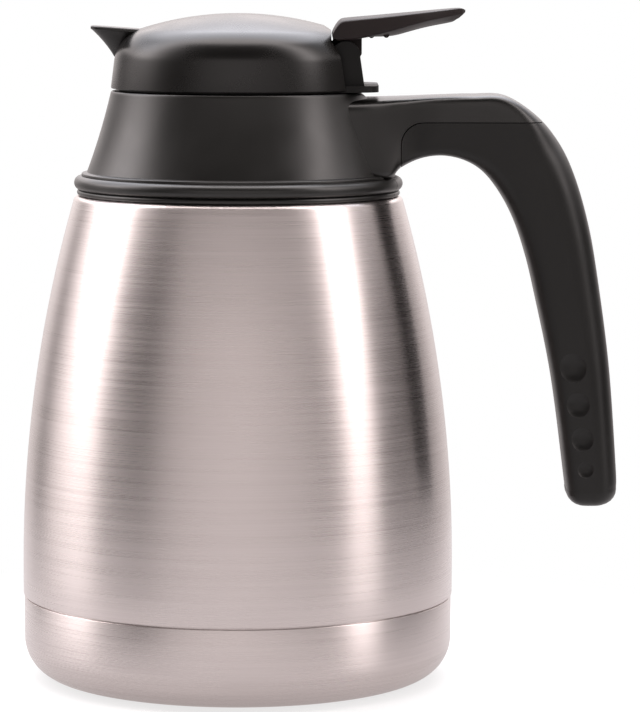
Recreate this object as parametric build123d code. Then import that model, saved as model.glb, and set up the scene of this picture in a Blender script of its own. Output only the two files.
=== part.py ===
from build123d import *
from math import acos, asin, degrees, hypot, radians, sin, tan
import os

# A one-litre vacuum carafe: a double-wall steel flask with a moulded neck and handle, and a
# pouring lid that screws into the neck. A thumb lever on the lid lifts a sprung valve.
# Lengths are millimetres and angles are degrees. The origin is on the flask's axis at the foot
# plane, +Z is up, the handle is at +X and the spout points along -X. The part is symmetric
# about the XZ plane, apart from its threads and its spring.
# The values below are set one by one. What seats on, passes through or lines up with another
# piece is worked out from them further down.

over = 1.0                     # tools and hidden roots run this far past what they meet
tolerance = 0.001

# ---- Steel flask ----
body_radius = 65.0
belly_height = 34.0            # the straight lower wall ends here and the flank begins
shoulder_height = 145.6        # flat seat for the neck moulding
shoulder_width = 17.5          # from the steel neck to the edge of the shoulder
shoulder_round = 5.0
steel_root_round = 3.0         # between the shoulder and the steel neck
shell_wall = 0.6
liner_wall = 0.5
vacuum_gap = 6.6
mouth_radius = 29.5
mouth_gap = 1.0                # the vacuum space inside the steel neck
rim_rise = 14.4                # steel neck above the shoulder
liner_floor = 19.0             # underside of the liner's floor
liner_floor_round = 14.0
liner_shoulder_round = 9.0
snap_bead_drop = 7.0           # bead on the steel neck, below the rim, for the neck moulding
snap_bead_radius = 0.7

# ---- Base ----
seam_height = 25.0
seam_width = 0.5
base_inset = 0.3               # the base cup is this much smaller than the shell
base_wall = 0.6
base_round = 12.0
foot_width = 12.0
foot_recess = 1.5
skirt_length = 9.0             # stepped lower end of the shell, inside the base cup
press_clearance = 0.05
bottom_height = 9.0            # underside of the vacuum bottom
bottom_rim = 10.0
bottom_wall = 0.8
bottom_round = 5.0
port_radius = 1.5
port_seal_radius = 6.0
port_seal_thick = 1.0
getter_radius = 7.0
getter_thick = 2.5

# ---- Collar ring ----
collar_seat_gap = 0.2          # between the shoulder and the collar
collar_setback = 3.7           # the collar's bore is this far inside the shoulder's edge
collar_height = 5.7
collar_groove_rise = 1.6       # groove between the two beads, above the collar's underside
collar_groove_wall = 2.5       # thickness of the collar at the groove
collar_top_wall = 1.6
upper_bead_rise = 3.7
upper_bead_wall = 4.0
lower_bead_wall = 3.1
collar_clearance = 0.1
collar_rear_angle = 31.0       # the stretch under the handle that belongs to the neck moulding
collar_joint_gap = 0.25

# ---- Neck moulding ----
neck_rise = 31.3               # neck rim above the shoulder
neck_rim_width = 5.2
neck_foot_step = 0.3           # from the foot flange up to where the cone begins
neck_flare_radius = 190.0      # the cone is slightly hollow-sided
neck_flange_thick = 0.7
neck_flange_wall = 1.7         # the flange reaches this far beyond the collar's bore
neck_rim_round = 0.5
neck_wall = 2.6
bore_step = 1.4                # the threaded bore is this much wider than the steel neck
tube_wall = 2.4                # wall of the threaded tube inside the neck
ledge_thick = 2.0              # ledge over the steel rim
ledge_step = 0.7               # the ledge's bore is this much wider than the mouth
steel_clearance = 0.25         # between the neck's lower bore and the steel neck
gasket_thick = 1.2
pocket_drop = 7.9              # solid plastic above the pocket

# ---- Handle ----
handle_side_half = 22.0        # half width where the arm leaves the neck
arm_half = 12.7
grip_end_half = 10.6
arm_depth = 5.0                # the arm's root runs this far inside the bore before it is cut
arm_root_length = 6.0
arm_taper_length = 27.0
arm_start_drop = 2.4           # the arm's top is this far below the neck rim at its root
arm_end_drop = 0.8             # and this far at its highest
handle_reach = 114.4
handle_length = 123.7          # from the arm's highest point down to the end of the grip
handle_end_outer_round = 6.0
handle_end_inner_round = 5.0
handle_end_outer_straight = 11.6
handle_end_inner_straight = 7.6
handle_edge_round = 4.6
handle_root_drop = 0.7         # the root's underside is this far below the cone's foot
arm_ramp_margin = 2.4          # the neck rim slopes down to the arm from this far inside its edge
arm_ramp_drop = 2.1
arm_ramp_length = 2.8
seam_line_drop = 7.9           # joint between the arm and the grip, below the arm's top
seam_line_start = 20.4         # from the arm's start
seam_line_round = 6.5
grip_gap = 0.25
dimple_depth = 0.9
dimple_places = [(14.0, 42.3), (12.3, 31.1), (10.7, 20.8), (9.8, 11.6)]  # in from the reach, up
dimple_radii = [4.2, 3.4, 3.0, 2.0]
grip_screw_start = 30.0        # from the arm's start
grip_screw_spacing = 13.0
grip_screw_radius = 1.5
grip_screw_head_radius = 3.0
grip_screw_head_thick = 2.0
grip_screw_cover = 6.2         # plastic between the screw heads' seat and the joint
grip_screw_length = 11.0

# ---- Thread between lid and neck ----
thread_lead = 12.0
thread_starts = 2
thread_depth = 1.4
thread_root_width = 2.4
thread_crest_width = 1.3
thread_rise = 2.2              # the neck's ridges begin this far above the ledge
thread_turns = 0.45
thread_play = 0.3              # radial clearance between a crest and the wall it faces

# ---- Lid ----
lid_gap = 0.25                 # between the neck rim and the lid floor
lid_floor_thick = 1.9
lid_skirt_gap = 0.7            # between the neck rim and the lid's skirt
dome_rise = 23.2               # top of the dome above the neck rim
dome_radius = 95.0
dome_round = 11.0
dome_wall = 2.0
dome_step = 0.1                # the skirt is this much wider than the neck rim
dome_lean = 1.9                # the skirt leans in by this much up to the crown
slot_clearance = 0.7           # beside the lever
slot_front_gap = 0.4           # in front of the lever
floor_clearance = 0.3
tongue_reach = 9.8             # from the lever's pivot
tongue_half = 20.4
tongue_round = 7.0
flow_half = 14.0               # half width of the opening in the lid floor
flow_reach = 26.0
flow_round = 8.0
flow_margin = 2.0              # floor left between the stem's guide and the opening
boss_x = 15.0
boss_y = 19.0
boss_radius = 3.2
screw_radius = 1.25
screw_depth = 8.0
screw_head_radius = 2.4
screw_head_thick = 1.4
screw_slot_width = 0.7

# ---- Beak ----
beak_overhang = 6.0            # beyond the dome's skirt
beak_drop = 3.7                # its roof is this far below the dome's top at the tip
beak_slope = 4.0               # the roof falls towards the dome
beak_tip_half = 6.4
beak_root_half = 7.6
beak_tip_round = 4.4
beak_roof_thick = 1.0
beak_step = 0.3                # the hull below is set in from the roof's edge
beak_length = 18.0
beak_depth = 8.6               # hull below the roof
beak_foot_setback = 6.6        # the hull's foot is this far behind the tip
beak_foot_half = 1.6
beak_foot_round = 1.0
beak_wall = 1.3
beak_mouth_depth = 11.7        # the channel opens into the dome this far inside the skirt
outlet_half = 3.2              # the drink leaves at the tip, under the roof
outlet_height = 3.0

# ---- Stopper ----
barrel_wall = 2.0
barrel_gap = 0.6               # between the barrel's end and the ledge
cup_reach = 10.0               # the cup hangs this far below the steel rim
cup_floor = 2.0
cup_wall = 1.8
cup_clearance = 1.2            # between the cup and the steel mouth
cup_sleeve = 6.2               # length of the sleeve inside the barrel
seal_rise = 4.0
seal_thick = 3.2
seal_depth = 1.4
seal_clearance = 0.1
valve_hole_radius = 10.0

# ---- Valve ----
stem_radius = 2.5
running_clearance = 0.06
plug_overlap = 2.5             # the plug is this much wider than its hole
plug_thick = 3.0
plug_nose = 2.6
plug_nose_clearance = 1.0
plug_nose_chamfer = 2.0
spring_seat_margin = 1.05      # the plug's top reaches this far beyond the spring
valve_seal_thick = 1.2
rest_gap = 0.1                 # at rest the valve seal is this far above its seat
guide_wall = 2.5
guide_drop = 5.15              # below the lid floor
guide_rise = 0.45              # above the lid floor
stem_end = 1.5                 # stem above its clip
clip_overlap = 2.7             # the clip is this much wider than the stem
clip_thick = 1.4
clip_drop = 2.7                # underside of the clip below the pivot
clip_groove_depth = 0.5
clip_opening_half = 1.75
spring_play = 2.65             # between the stem and the spring's wire
spring_wire_radius = 0.45
spring_turns = 6.0

# ---- Thumb lever: along X from its pivot, heights from its pivot ----
pivot_x = 32.0
pivot_rise = 8.95              # above the lid floor
pin_radius = 1.5
pin_clearance = 0.05
ear_half_outer = 17.5
ear_half_inner = 7.0
ear_round = 4.2
ear_back_reach = 5.8
ear_front_reach = 5.6
knuckle_gap = 0.4
lever_front_reach = 4.9
lever_front_rise = 5.1
lever_heel_reach = 2.3         # the flat top begins here, in front of the pivot
lever_heel_rise = 10.3
lever_heel_round = 2.0
lever_tip_reach = 36.2
lever_tip_rise = 14.0
lever_tip_thick = 1.8
lever_bend_reach = 16.0        # the underside rises towards the tip from here
lever_bend_rise = 6.4
lever_root_reach = 4.0
lever_bottom_rise = 4.5
lever_foot_setback = 1.2
lever_half = 20.3
lever_bend_narrowing = 2.1
lever_shoulder_reach = 27.8    # the sides end and the rounded tip begins
lever_shoulder_narrowing = 7.6
lever_edge_round = 0.8
lever_keel_reach = 6.0
lever_keel_half = 5.0
lever_keel_drop = 0.4
lever_keel_rise = 2.0
keel_tool_depth = 4.0
rib_count = 2
rib_reach = 7.5
rib_spacing = 4.5
rib_radius = 0.9
rib_half = 11.0
fork_slot_depth = 4.5
fork_slot_play = 0.6           # on each side of the stem
fork_pad_radius = 2.2
fork_gap = 0.3                 # free play under the stem clip


# ---- Sizes that follow from those ----
steel_neck_radius = mouth_radius + liner_wall + mouth_gap + shell_wall
shoulder_radius = steel_neck_radius + shoulder_width
flank_run = body_radius - shoulder_radius
flank_rise = shoulder_height - belly_height
flank_radius = (flank_run**2 + flank_rise**2) / (2 * flank_run)  # one arc, upright at the belly
rim_height = shoulder_height + rim_rise
snap_bead_height = rim_height - snap_bead_drop
snap_bead_centre = steel_neck_radius - snap_bead_radius / 4
seam_top = seam_height + seam_width / 2
seam_bottom = seam_height - seam_width / 2
base_radius = body_radius - base_inset
skirt_radius = base_radius - base_wall - press_clearance

collar_inner_radius = shoulder_radius - collar_setback
collar_bottom = shoulder_height + collar_seat_gap
collar_top = collar_bottom + collar_height
collar_groove_height = collar_bottom + collar_groove_rise
collar_groove_radius = collar_inner_radius + collar_groove_wall
collar_top_radius = collar_inner_radius + collar_top_wall
upper_bead_radius = collar_inner_radius + upper_bead_wall
upper_bead_height = collar_bottom + upper_bead_rise
lower_bead_radius = collar_inner_radius + lower_bead_wall

neck_top = shoulder_height + neck_rise
bore_radius = steel_neck_radius + bore_step
neck_top_radius = bore_radius + neck_rim_width
neck_foot_radius = collar_inner_radius + collar_clearance
neck_flange_radius = collar_inner_radius + neck_flange_wall
neck_flange_top = collar_top + collar_clearance + neck_flange_thick
neck_foot_height = neck_flange_top + neck_foot_step
ledge_radius = mouth_radius + ledge_step
ledge_height = rim_height + gasket_thick + ledge_thick
pocket_top = neck_top - pocket_drop

arm_start = bore_radius - arm_depth
arm_root_end = arm_start + arm_root_length
arm_taper_end = arm_root_end + arm_taper_length
arm_top_start = neck_top - arm_start_drop
arm_top_end = neck_top - arm_end_drop
arm_ramp_start = neck_top_radius - arm_ramp_margin
handle_end = arm_top_end - handle_length
handle_root_bottom = neck_foot_height - handle_root_drop
seam_line_height = arm_top_end - seam_line_drop
grip_screw_seat = seam_line_height - grip_screw_cover

lid_floor_bottom = neck_top + lid_gap
lid_floor_top = lid_floor_bottom + lid_floor_thick
dome_top = neck_top + dome_rise
dome_skirt_radius = neck_top_radius + dome_step
dome_shoulder_radius = dome_skirt_radius - dome_lean  # where crown and skirt would meet
beak_tip = dome_skirt_radius + beak_overhang
beak_height = dome_top - beak_drop
beak_mouth_end = dome_skirt_radius - beak_mouth_depth

thread_base = ledge_height + thread_rise
barrel_radius = bore_radius - thread_depth - thread_play
barrel_bottom = ledge_height + barrel_gap
cup_bottom = rim_height - cup_reach
cup_sleeve_top = barrel_bottom + cup_sleeve
seal_height = cup_bottom + seal_rise

pivot_z = lid_floor_top + pivot_rise
ear_back = pivot_x + ear_back_reach
ear_front = pivot_x - ear_front_reach
lever_front = pivot_x - lever_front_reach
lever_heel = pivot_x - lever_heel_reach
lever_tip = pivot_x + lever_tip_reach
lever_bend = pivot_x + lever_bend_reach
lever_root = pivot_x + lever_root_reach
lever_shoulder = pivot_x + lever_shoulder_reach
lever_keel_start = pivot_x + lever_keel_reach
rib_start = pivot_x + rib_reach
lever_bottom = pivot_z + lever_bottom_rise
lever_front_height = pivot_z + lever_front_rise
lever_heel_height = pivot_z + lever_heel_rise
lever_tip_top = pivot_z + lever_tip_rise
lever_bend_height = pivot_z + lever_bend_rise
lever_bend_half = lever_half - lever_bend_narrowing
lever_shoulder_half = lever_half - lever_shoulder_narrowing
slot_half = lever_half + slot_clearance
slot_front = lever_front - slot_front_gap

guide_radius = stem_radius + guide_wall
guide_bottom = lid_floor_bottom - guide_drop
guide_top = lid_floor_top + guide_rise
clip_radius = stem_radius + clip_overlap
clip_height = pivot_z - clip_drop
stem_top = clip_height + clip_thick + stem_end
spring_mean_radius = stem_radius + spring_play + spring_wire_radius
plug_radius = valve_hole_radius + plug_overlap
plug_neck_radius = spring_mean_radius + spring_wire_radius + spring_seat_margin
fork_slot_half = stem_radius + fork_slot_play


# ---- Helpers ----
def spin(section):
    """Turn a half section, drawn as (radius, height), about the upright axis."""
    return revolve(Plane.XZ * section, axis=Axis.Z)


def polygon(*points):
    """A flat face with straight sides."""
    return make_face(Polyline(*points, close=True))


def ring(inner, outer, bottom, top):
    """A flat ring, or a disc where inner is 0."""
    return spin(polygon((inner, bottom), (outer, bottom), (outer, top), (inner, top)))


def round_corner(section, x, y, radius):
    """Round the corner of a flat outline that lies nearest to (x, y)."""
    corner = section.vertices().sort_by_distance((x, y, 0))[0]
    return section.face().fillet_2d(radius, [corner])


def upright_prism(outline, bottom, top):
    """Extrude an outline, drawn as (x, y), between two heights."""
    return extrude(Pos(0, 0, bottom) * outline, amount=top - bottom)


def cross_prism(outline, half):
    """Extrude a side outline, drawn as (x, z), to both sides of the symmetry plane."""
    return extrude(Plane.XZ * outline, amount=half, both=True)


# ---- Steel flask ----
def flask_section(inset, floor, floor_round, corner_round, neck_radius, top):
    """Half section of the flask, set in from its outer surface, filled to the axis."""
    centre_x = body_radius - flank_radius
    arc_radius = flank_radius - inset
    shoulder = shoulder_height - inset
    sweep_angle = degrees(asin((shoulder - belly_height) / arc_radius))
    flank = CenterArc((centre_x, belly_height), arc_radius, 0, sweep_angle)
    lower = Polyline((0, top), (0, floor), (body_radius - inset, floor), flank @ 0)
    upper = Polyline(flank @ 1, (neck_radius, shoulder), (neck_radius, top), (0, top))
    section = make_face(lower + flank + upper)
    corner = flank @ 1
    section = round_corner(section, corner.X, corner.Y, corner_round)
    section = round_corner(section, neck_radius, shoulder, steel_root_round)
    if floor_round:
        section = round_corner(section, body_radius - inset, floor, floor_round)
    return section


def outer_shell():
    shell_top = rim_height - liner_wall
    outside = spin(flask_section(0, seam_top, 0, shoulder_round, steel_neck_radius, shell_top))
    inside = spin(
        flask_section(
            shell_wall, seam_top, 0, shoulder_round - shell_wall, steel_neck_radius - shell_wall, shell_top
        )
    )
    shell = outside - inside
    skirt_inner = skirt_radius - shell_wall
    step = Polyline(
        (skirt_inner, seam_top - skirt_length),
        (skirt_radius, seam_top - skirt_length),
        (skirt_radius, seam_top),
        (body_radius - shell_wall, seam_top),
        (body_radius - shell_wall, seam_top + shell_wall),
        (skirt_inner, seam_top + shell_wall),
        close=True,
    )
    bead = spin(Pos(snap_bead_centre, snap_bead_height) * Circle(snap_bead_radius))
    bead_core = ring(0, steel_neck_radius - shell_wall, 0, rim_height)
    return shell + spin(make_face(step)) + (bead - bead_core)


def inner_liner():
    inset = shell_wall + vacuum_gap
    neck_outer = mouth_radius + liner_wall
    outside = spin(
        flask_section(inset, liner_floor, liner_floor_round, liner_shoulder_round, neck_outer, rim_height)
    )
    inside = spin(
        flask_section(
            inset + liner_wall,
            liner_floor + liner_wall,
            liner_floor_round - liner_wall,
            liner_shoulder_round - liner_wall,
            mouth_radius,
            rim_height,
        )
    )
    lip = ring(mouth_radius, steel_neck_radius, rim_height - liner_wall, rim_height)
    return outside - inside + lip


def vacuum_bottom():
    outer = skirt_radius - shell_wall - press_clearance
    rim_top = bottom_height + bottom_rim
    section = polygon((0, rim_top), (0, bottom_height), (outer, bottom_height), (outer, rim_top))
    section = round_corner(section, outer, bottom_height, bottom_round)
    inner_rim = outer - bottom_wall
    inner_floor = bottom_height + bottom_wall
    hollow = polygon((0, rim_top), (0, inner_floor), (inner_rim, inner_floor), (inner_rim, rim_top))
    hollow = round_corner(hollow, inner_rim, inner_floor, bottom_round - bottom_wall)
    port = ring(0, port_radius, 0, rim_top)
    return spin(section) - spin(hollow) - port


def port_seal():
    return ring(0, port_seal_radius, bottom_height - port_seal_thick, bottom_height)


def getter():
    floor = bottom_height + bottom_wall
    return ring(port_radius, getter_radius, floor, floor + getter_thick)


def foot_cone(radius, bottom):
    """The raised middle of the foot, whose edge slopes inwards."""
    top = bottom + foot_recess
    return spin(polygon((0, bottom), (radius, bottom), (radius - foot_recess, top), (0, top)))


def base_cup():
    outside = polygon((0, seam_bottom), (0, 0), (base_radius, 0), (base_radius, seam_bottom))
    outside = round_corner(outside, base_radius, 0, base_round)
    inner = base_radius - base_wall
    inside = polygon((0, seam_bottom), (0, base_wall), (inner, base_wall), (inner, seam_bottom))
    inside = round_corner(inside, inner, base_wall, base_round - base_wall)
    foot_inner = base_radius - base_round - foot_width
    recess = foot_cone(foot_inner, 0)
    raised = foot_cone(foot_inner + base_wall, base_wall)
    return spin(outside) - (spin(inside) - raised) - recess


# ---- Neck, collar and handle ----
def neck_section():
    """Half section of the neck moulding, filled to the axis."""
    flare = RadiusArc((neck_foot_radius, neck_foot_height), (neck_top_radius, neck_top), neck_flare_radius)
    waist = collar_inner_radius - collar_clearance
    foot = Polyline(
        (0, neck_top),
        (0, shoulder_height),
        (waist, shoulder_height),
        (waist, collar_top + collar_clearance),
        (neck_flange_radius, collar_top + collar_clearance),
        (neck_flange_radius, neck_flange_top),
        flare @ 0,
    )
    section = make_face(foot + flare + Line(flare @ 1, (0, neck_top)))
    section = round_corner(section, neck_top_radius, neck_top, neck_rim_round)
    return section


def collar_section():
    """Section of the collar: a tall bead over a low one."""
    groove = (collar_groove_radius, collar_groove_height)
    upper = ThreePointArc(groove, (upper_bead_radius, upper_bead_height), (collar_top_radius, collar_top))
    lower_middle = (lower_bead_radius, (collar_bottom + collar_groove_height) / 2)
    lower = ThreePointArc((collar_groove_radius, collar_bottom), lower_middle, groove)
    inner = Polyline(
        (collar_top_radius, collar_top),
        (collar_inner_radius, collar_top),
        (collar_inner_radius, collar_bottom),
        (collar_groove_radius, collar_bottom),
    )
    return make_face(lower + upper + inner)


def collar_sector(angle):
    """The collar's section swept round the flask, centred on the handle."""
    stretch = revolve(Plane.XZ * collar_section(), axis=Axis.Z, revolution_arc=angle)
    return Rot(0, 0, -angle / 2) * stretch


def collar_ring():
    joint_angle = degrees(collar_joint_gap / collar_inner_radius)
    return Rot(0, 0, 180) * collar_sector(360 - collar_rear_angle - 2 * joint_angle)


def thread_ridge(wall_radius, inward, start_height, start_angle):
    """One ridge of a right-hand thread on a wall, pointing inwards or outwards."""
    side = -1 if inward else 1
    root = wall_radius - side * thread_play
    crest = wall_radius + side * thread_depth
    root_half = thread_root_width / 2
    crest_half = thread_crest_width / 2
    outline = polygon((root, -root_half), (crest, -crest_half), (crest, crest_half), (root, root_half))
    path = Helix(thread_lead, thread_lead * thread_turns, wall_radius)
    ridge = sweep(Plane.XZ * outline, path=path, is_frenet=True)
    return Pos(0, 0, start_height) * Rot(0, 0, start_angle) * ridge


def thread(wall_radius, inward, start_height):
    ridges = []
    for start in range(thread_starts):
        ridges.append(thread_ridge(wall_radius, inward, start_height, start * 360 / thread_starts))
    return ridges


def handle_point(along, up):
    """A place on the handle's side, as shares of its reach and of its length."""
    return (
        arm_start + along * (handle_reach - arm_start),
        handle_end + up * handle_length,
    )


def handle_outline():
    """Side outline of the arm and grip together, drawn as (x, z)."""
    outer = Spline(
        (arm_start, arm_top_start),
        handle_point(0.255, 0.9935),
        handle_point(0.486, 1.0),
        handle_point(0.602, 0.9968),
        handle_point(0.711, 0.9491),
        handle_point(0.838, 0.7963),
        handle_point(0.918, 0.5788),
        handle_point(0.971, 0.3444),
        (handle_reach, handle_end + handle_end_outer_straight),
        tangents=((1, 0.04), (0, -1)),
    )
    inner = Spline(
        (handle_point(0.821, 0)[0], handle_end + handle_end_inner_straight),
        handle_point(0.771, 0.3129),
        handle_point(0.708, 0.519),
        handle_point(0.634, 0.6953),
        handle_point(0.525, 0.8133),
        handle_point(0.384, 0.8545),
        handle_point(0.259, 0.8375),
        (handle_point(0.207, 0)[0], handle_root_bottom),
        tangents=((-0.12, 1), (-0.6, -1)),
    )
    inner_end = inner @ 0 - (inner % 0) * ((inner @ 0).Y - handle_end) / (inner % 0).Y
    end = Polyline(outer @ 1, (handle_reach, handle_end), inner_end, inner @ 0)
    root = Polyline(inner @ 1, (arm_start, handle_root_bottom), outer @ 0)
    outline = make_face(outer + end + inner + root)
    outline = round_corner(outline, handle_reach, handle_end, handle_end_outer_round)
    return round_corner(outline, inner_end.X, handle_end, handle_end_inner_round)


def handle_side(x):
    """Half width of the handle at a distance from the axis, beyond the arm's taper."""
    share = (x - arm_taper_end) / (handle_reach - arm_taper_end)
    return arm_half + share * (grip_end_half - arm_half)


def handle_plan():
    """Outline of the handle seen from above, both sides."""
    far = handle_reach + over
    sides = Line((arm_taper_end, arm_half), (far, handle_side(far)))
    taper = Spline((arm_root_end, handle_side_half), sides @ 0, tangents=((1, 0), sides % 0))
    root = Polyline((arm_start, 0), (arm_start, handle_side_half), taper @ 0)
    end = Polyline(sides @ 1, (far, 0), (arm_start, 0))
    half = make_face(root + taper + sides + end)
    return half + mirror(half, Plane.XZ)


def handle_blank():
    """Arm and grip as one rounded bar."""
    bar = cross_prism(handle_outline(), handle_side_half + over)
    bar = bar & upright_prism(handle_plan(), handle_end - over, neck_top + over)
    long_edges = []
    for edge in bar.edges():
        middle = edge @ 0.5
        beside = abs(middle.Y) > handle_side(handle_reach + over) - over / 2
        upright = abs((edge % 0.5).Z) > 1 - tolerance and middle.X < arm_taper_end + over
        inside_neck = middle.X < arm_root_end + over and middle.Z < neck_foot_height
        if beside and not upright and not inside_neck:
            long_edges.append(edge)
    return bar.fillet(handle_edge_round, long_edges)


def grip_region(gap):
    """Everything below the seam line, set back from it by a gap."""
    left = arm_start + seam_line_start + gap
    top = seam_line_height - gap
    outline = polygon((left, 0), (left, top), (2 * handle_reach, top), (2 * handle_reach, 0))
    outline = round_corner(outline, left, top, seam_line_round)
    return cross_prism(outline, 2 * handle_side_half)


def grip_screw_places():
    first = arm_start + grip_screw_start
    return [first, first + grip_screw_spacing]


def handle_grip():
    grip = handle_blank() & grip_region(grip_gap)
    for (inset, rise), radius in zip(dimple_places, dimple_radii):
        x = handle_reach - inset
        z = handle_end + rise
        ball_radius = (radius**2 + dimple_depth**2) / (2 * dimple_depth)
        offset = handle_side(x) + ball_radius - dimple_depth
        for side in (-1, 1):
            grip -= Pos(x, side * offset, z) * Sphere(ball_radius)
    for x in grip_screw_places():
        grip -= Pos(x, 0, 0) * ring(0, grip_screw_radius, 0, neck_top)
        grip -= Pos(x, 0, 0) * ring(0, grip_screw_head_radius + press_clearance, 0, grip_screw_seat)
    return grip


def screw(radius, head_radius, head_thick, seat, length):
    """Cross-slot screw standing on the axis, head down, bearing at the seat height."""
    shank = ring(0, radius, seat, seat + length)
    head = ring(0, head_radius, seat - head_thick, seat)
    slot = Box(1.4 * head_radius, screw_slot_width, head_thick)
    cross = slot + Rot(0, 0, 90) * slot
    return (shank + head - Pos(0, 0, seat - head_thick) * cross).solid()


def handle_screws():
    made = screw(
        grip_screw_radius,
        grip_screw_head_radius,
        grip_screw_head_thick,
        grip_screw_seat,
        grip_screw_length,
    )
    return Compound(children=[Pos(x, 0, 0) * made for x in grip_screw_places()])


def neck_bore():
    """Everything open to the inside of the neck: threaded bore, ledge and steel neck's seat."""
    seat_radius = steel_neck_radius + steel_clearance
    seat_top = rim_height + gasket_thick
    opening = polygon(
        (0, shoulder_height - over),
        (seat_radius, shoulder_height - over),
        (seat_radius, seat_top),
        (ledge_radius, seat_top),
        (ledge_radius, ledge_height),
        (bore_radius, ledge_height),
        (bore_radius, neck_top + over),
        (0, neck_top + over),
    )
    return spin(opening)


def neck_pocket():
    """The hollow between the threaded tube and the cone, clear of the steel root's round."""
    tube_outer = bore_radius + tube_wall
    tube_bottom = shoulder_height + steel_root_round + steel_clearance
    wall_radius = neck_foot_radius - neck_wall
    hollow = polygon(
        (steel_neck_radius, shoulder_height - over),
        (wall_radius, shoulder_height - over),
        (wall_radius, collar_top),
        (tube_outer + neck_wall, pocket_top),
        (tube_outer, pocket_top),
        (tube_outer, tube_bottom),
        (steel_neck_radius, tube_bottom),
    )
    return spin(hollow)


def rim_ramp():
    """The slope from the neck's rim down to the arm."""
    floor = neck_top - arm_ramp_drop
    start = (arm_ramp_start, neck_top)
    end = (arm_ramp_start + arm_ramp_length, floor)
    past = arm_ramp_start + 2 * arm_ramp_length
    ramp = polygon(start, end, (past, floor), (past, neck_top + over), (arm_ramp_start, neck_top + over))
    return cross_prism(ramp, handle_side_half)


def collar_web():
    """Joins the stretch of collar under the handle to the neck."""
    inner = collar_inner_radius - over
    web = polygon(
        (inner, collar_bottom),
        (collar_inner_radius + over, collar_bottom),
        (collar_inner_radius + over, collar_top + over / 2),
        (inner, collar_top + over / 2),
    )
    sector = revolve(Plane.XZ * web, axis=Axis.Z, revolution_arc=collar_rear_angle)
    return Rot(0, 0, -collar_rear_angle / 2) * sector


def neck():
    """Neck moulding: pouring neck, handle arm and the stretch of collar under the handle."""
    body = spin(neck_section()) - rim_ramp()
    body += handle_blank() - grip_region(0)
    body += collar_sector(collar_rear_angle)
    body += collar_web()
    body -= neck_bore()
    body -= neck_pocket()
    groove = Circle(snap_bead_radius + press_clearance)
    body -= spin(Pos(snap_bead_centre, snap_bead_height) * groove)
    for x in grip_screw_places():
        body -= Pos(x, 0, 0) * ring(0, grip_screw_radius, 0, grip_screw_seat + grip_screw_length)
    for ridge in thread(bore_radius, True, thread_base):
        body += ridge
    return body


def neck_gasket():
    inner = ledge_radius + press_clearance
    return ring(inner, steel_neck_radius, rim_height, rim_height + gasket_thick)


# ---- Lid ----
def dome_section(inset):
    """Half section of the lid's dome and skirt, set in by an inset, filled to the axis."""
    crown_radius = dome_radius - inset
    crown_centre = dome_top - dome_radius
    skirt_bottom = neck_top + lid_skirt_gap
    edge_angle = degrees(acos((dome_shoulder_radius - inset) / crown_radius))
    crown = CenterArc((0, crown_centre), crown_radius, edge_angle, 90 - edge_angle)
    side = Polyline(
        crown @ 0, (dome_skirt_radius - inset, skirt_bottom), (0, skirt_bottom), crown @ 1
    )
    section = make_face(crown + side)
    corner = crown @ 0
    section = round_corner(section, corner.X, corner.Y, dome_round - inset)
    return section


def beak_plan(front, tip_half, root_half, corner_round):
    """Plan of the beak, drawn from its tip at the origin towards +X: a blunt, rounded wedge."""
    plan = polygon(
        (front, -tip_half),
        (front, tip_half),
        (beak_length, root_half),
        (beak_length, -root_half),
    )
    for side in (-1, 1):
        plan = round_corner(plan, front, side * tip_half, corner_round)
    return plan


def beak_hull(inset):
    """The hull under the roof, set in by an inset: it tapers down to a narrow foot."""
    inner = beak_step + inset
    top = beak_plan(inner, beak_tip_half - inner, beak_root_half - inner, beak_tip_round - inner)
    foot_front = beak_foot_setback + inset
    foot_half = beak_foot_half - inset / 2
    foot_round = beak_foot_round - inset / 2
    foot = beak_plan(foot_front, foot_half, foot_half, foot_round)
    foot_place = Pos(0, 0, -beak_roof_thick - beak_depth + inset)
    return loft([Pos(0, 0, -beak_roof_thick) * top, foot_place * foot], ruled=True)


def beak_place():
    return Pos(-beak_tip, 0, beak_height) * Rot(0, beak_slope, 0)


def beak_roof():
    plan = beak_plan(0, beak_tip_half, beak_root_half, beak_tip_round)
    return extrude(plan, amount=-beak_roof_thick)


def beak_outlet():
    """The opening at the tip, through the front of the hull."""
    box = Box(beak_foot_setback, 2 * outlet_half, outlet_height, align=(Align.MIN, Align.CENTER, Align.MAX))
    return Pos(0, 0, -beak_roof_thick) * box


def boss_places():
    return [(x, y) for x in (-boss_x, boss_x) for y in (-boss_y, boss_y)]


def lid_shell():
    """Dome, skirt and beak in one moulding, open behind for the lever."""
    shell = spin(dome_section(0)) + beak_place() * (beak_roof() + beak_hull(0))
    shell -= spin(dome_section(dome_wall))
    far_side = (Align.MAX, Align.CENTER, Align.CENTER)
    near_side = (Align.MIN, Align.CENTER, Align.CENTER)
    mouth = Pos(-beak_mouth_end, 0, 0) * Box(beak_tip, 2 * beak_tip, 3 * dome_top, align=far_side)
    shell -= (beak_place() * beak_hull(beak_wall)) & mouth
    shell -= beak_place() * beak_outlet()
    shell -= Pos(slot_front, 0, 0) * Box(dome_radius, 2 * slot_half, 3 * dome_top, align=near_side)
    for x, y in boss_places():
        boss = Pos(x, y, 0) * ring(0, boss_radius, lid_floor_top, dome_top)
        shell += boss & spin(dome_section(dome_wall / 2))
        shell -= Pos(x, y, 0) * ring(0, screw_radius, lid_floor_top, lid_floor_top + screw_depth)
    return shell


def block_outline():
    """Side outline of the hinge block, drawn as (x, z), with its top rounded about the pin."""
    top = CenterArc((pivot_x, pivot_z), ear_round, 0, 180)
    foot = Polyline(top @ 1, (ear_front, lid_floor_bottom), (ear_back, lid_floor_bottom), top @ 0)
    return make_face(top + foot)


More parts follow.
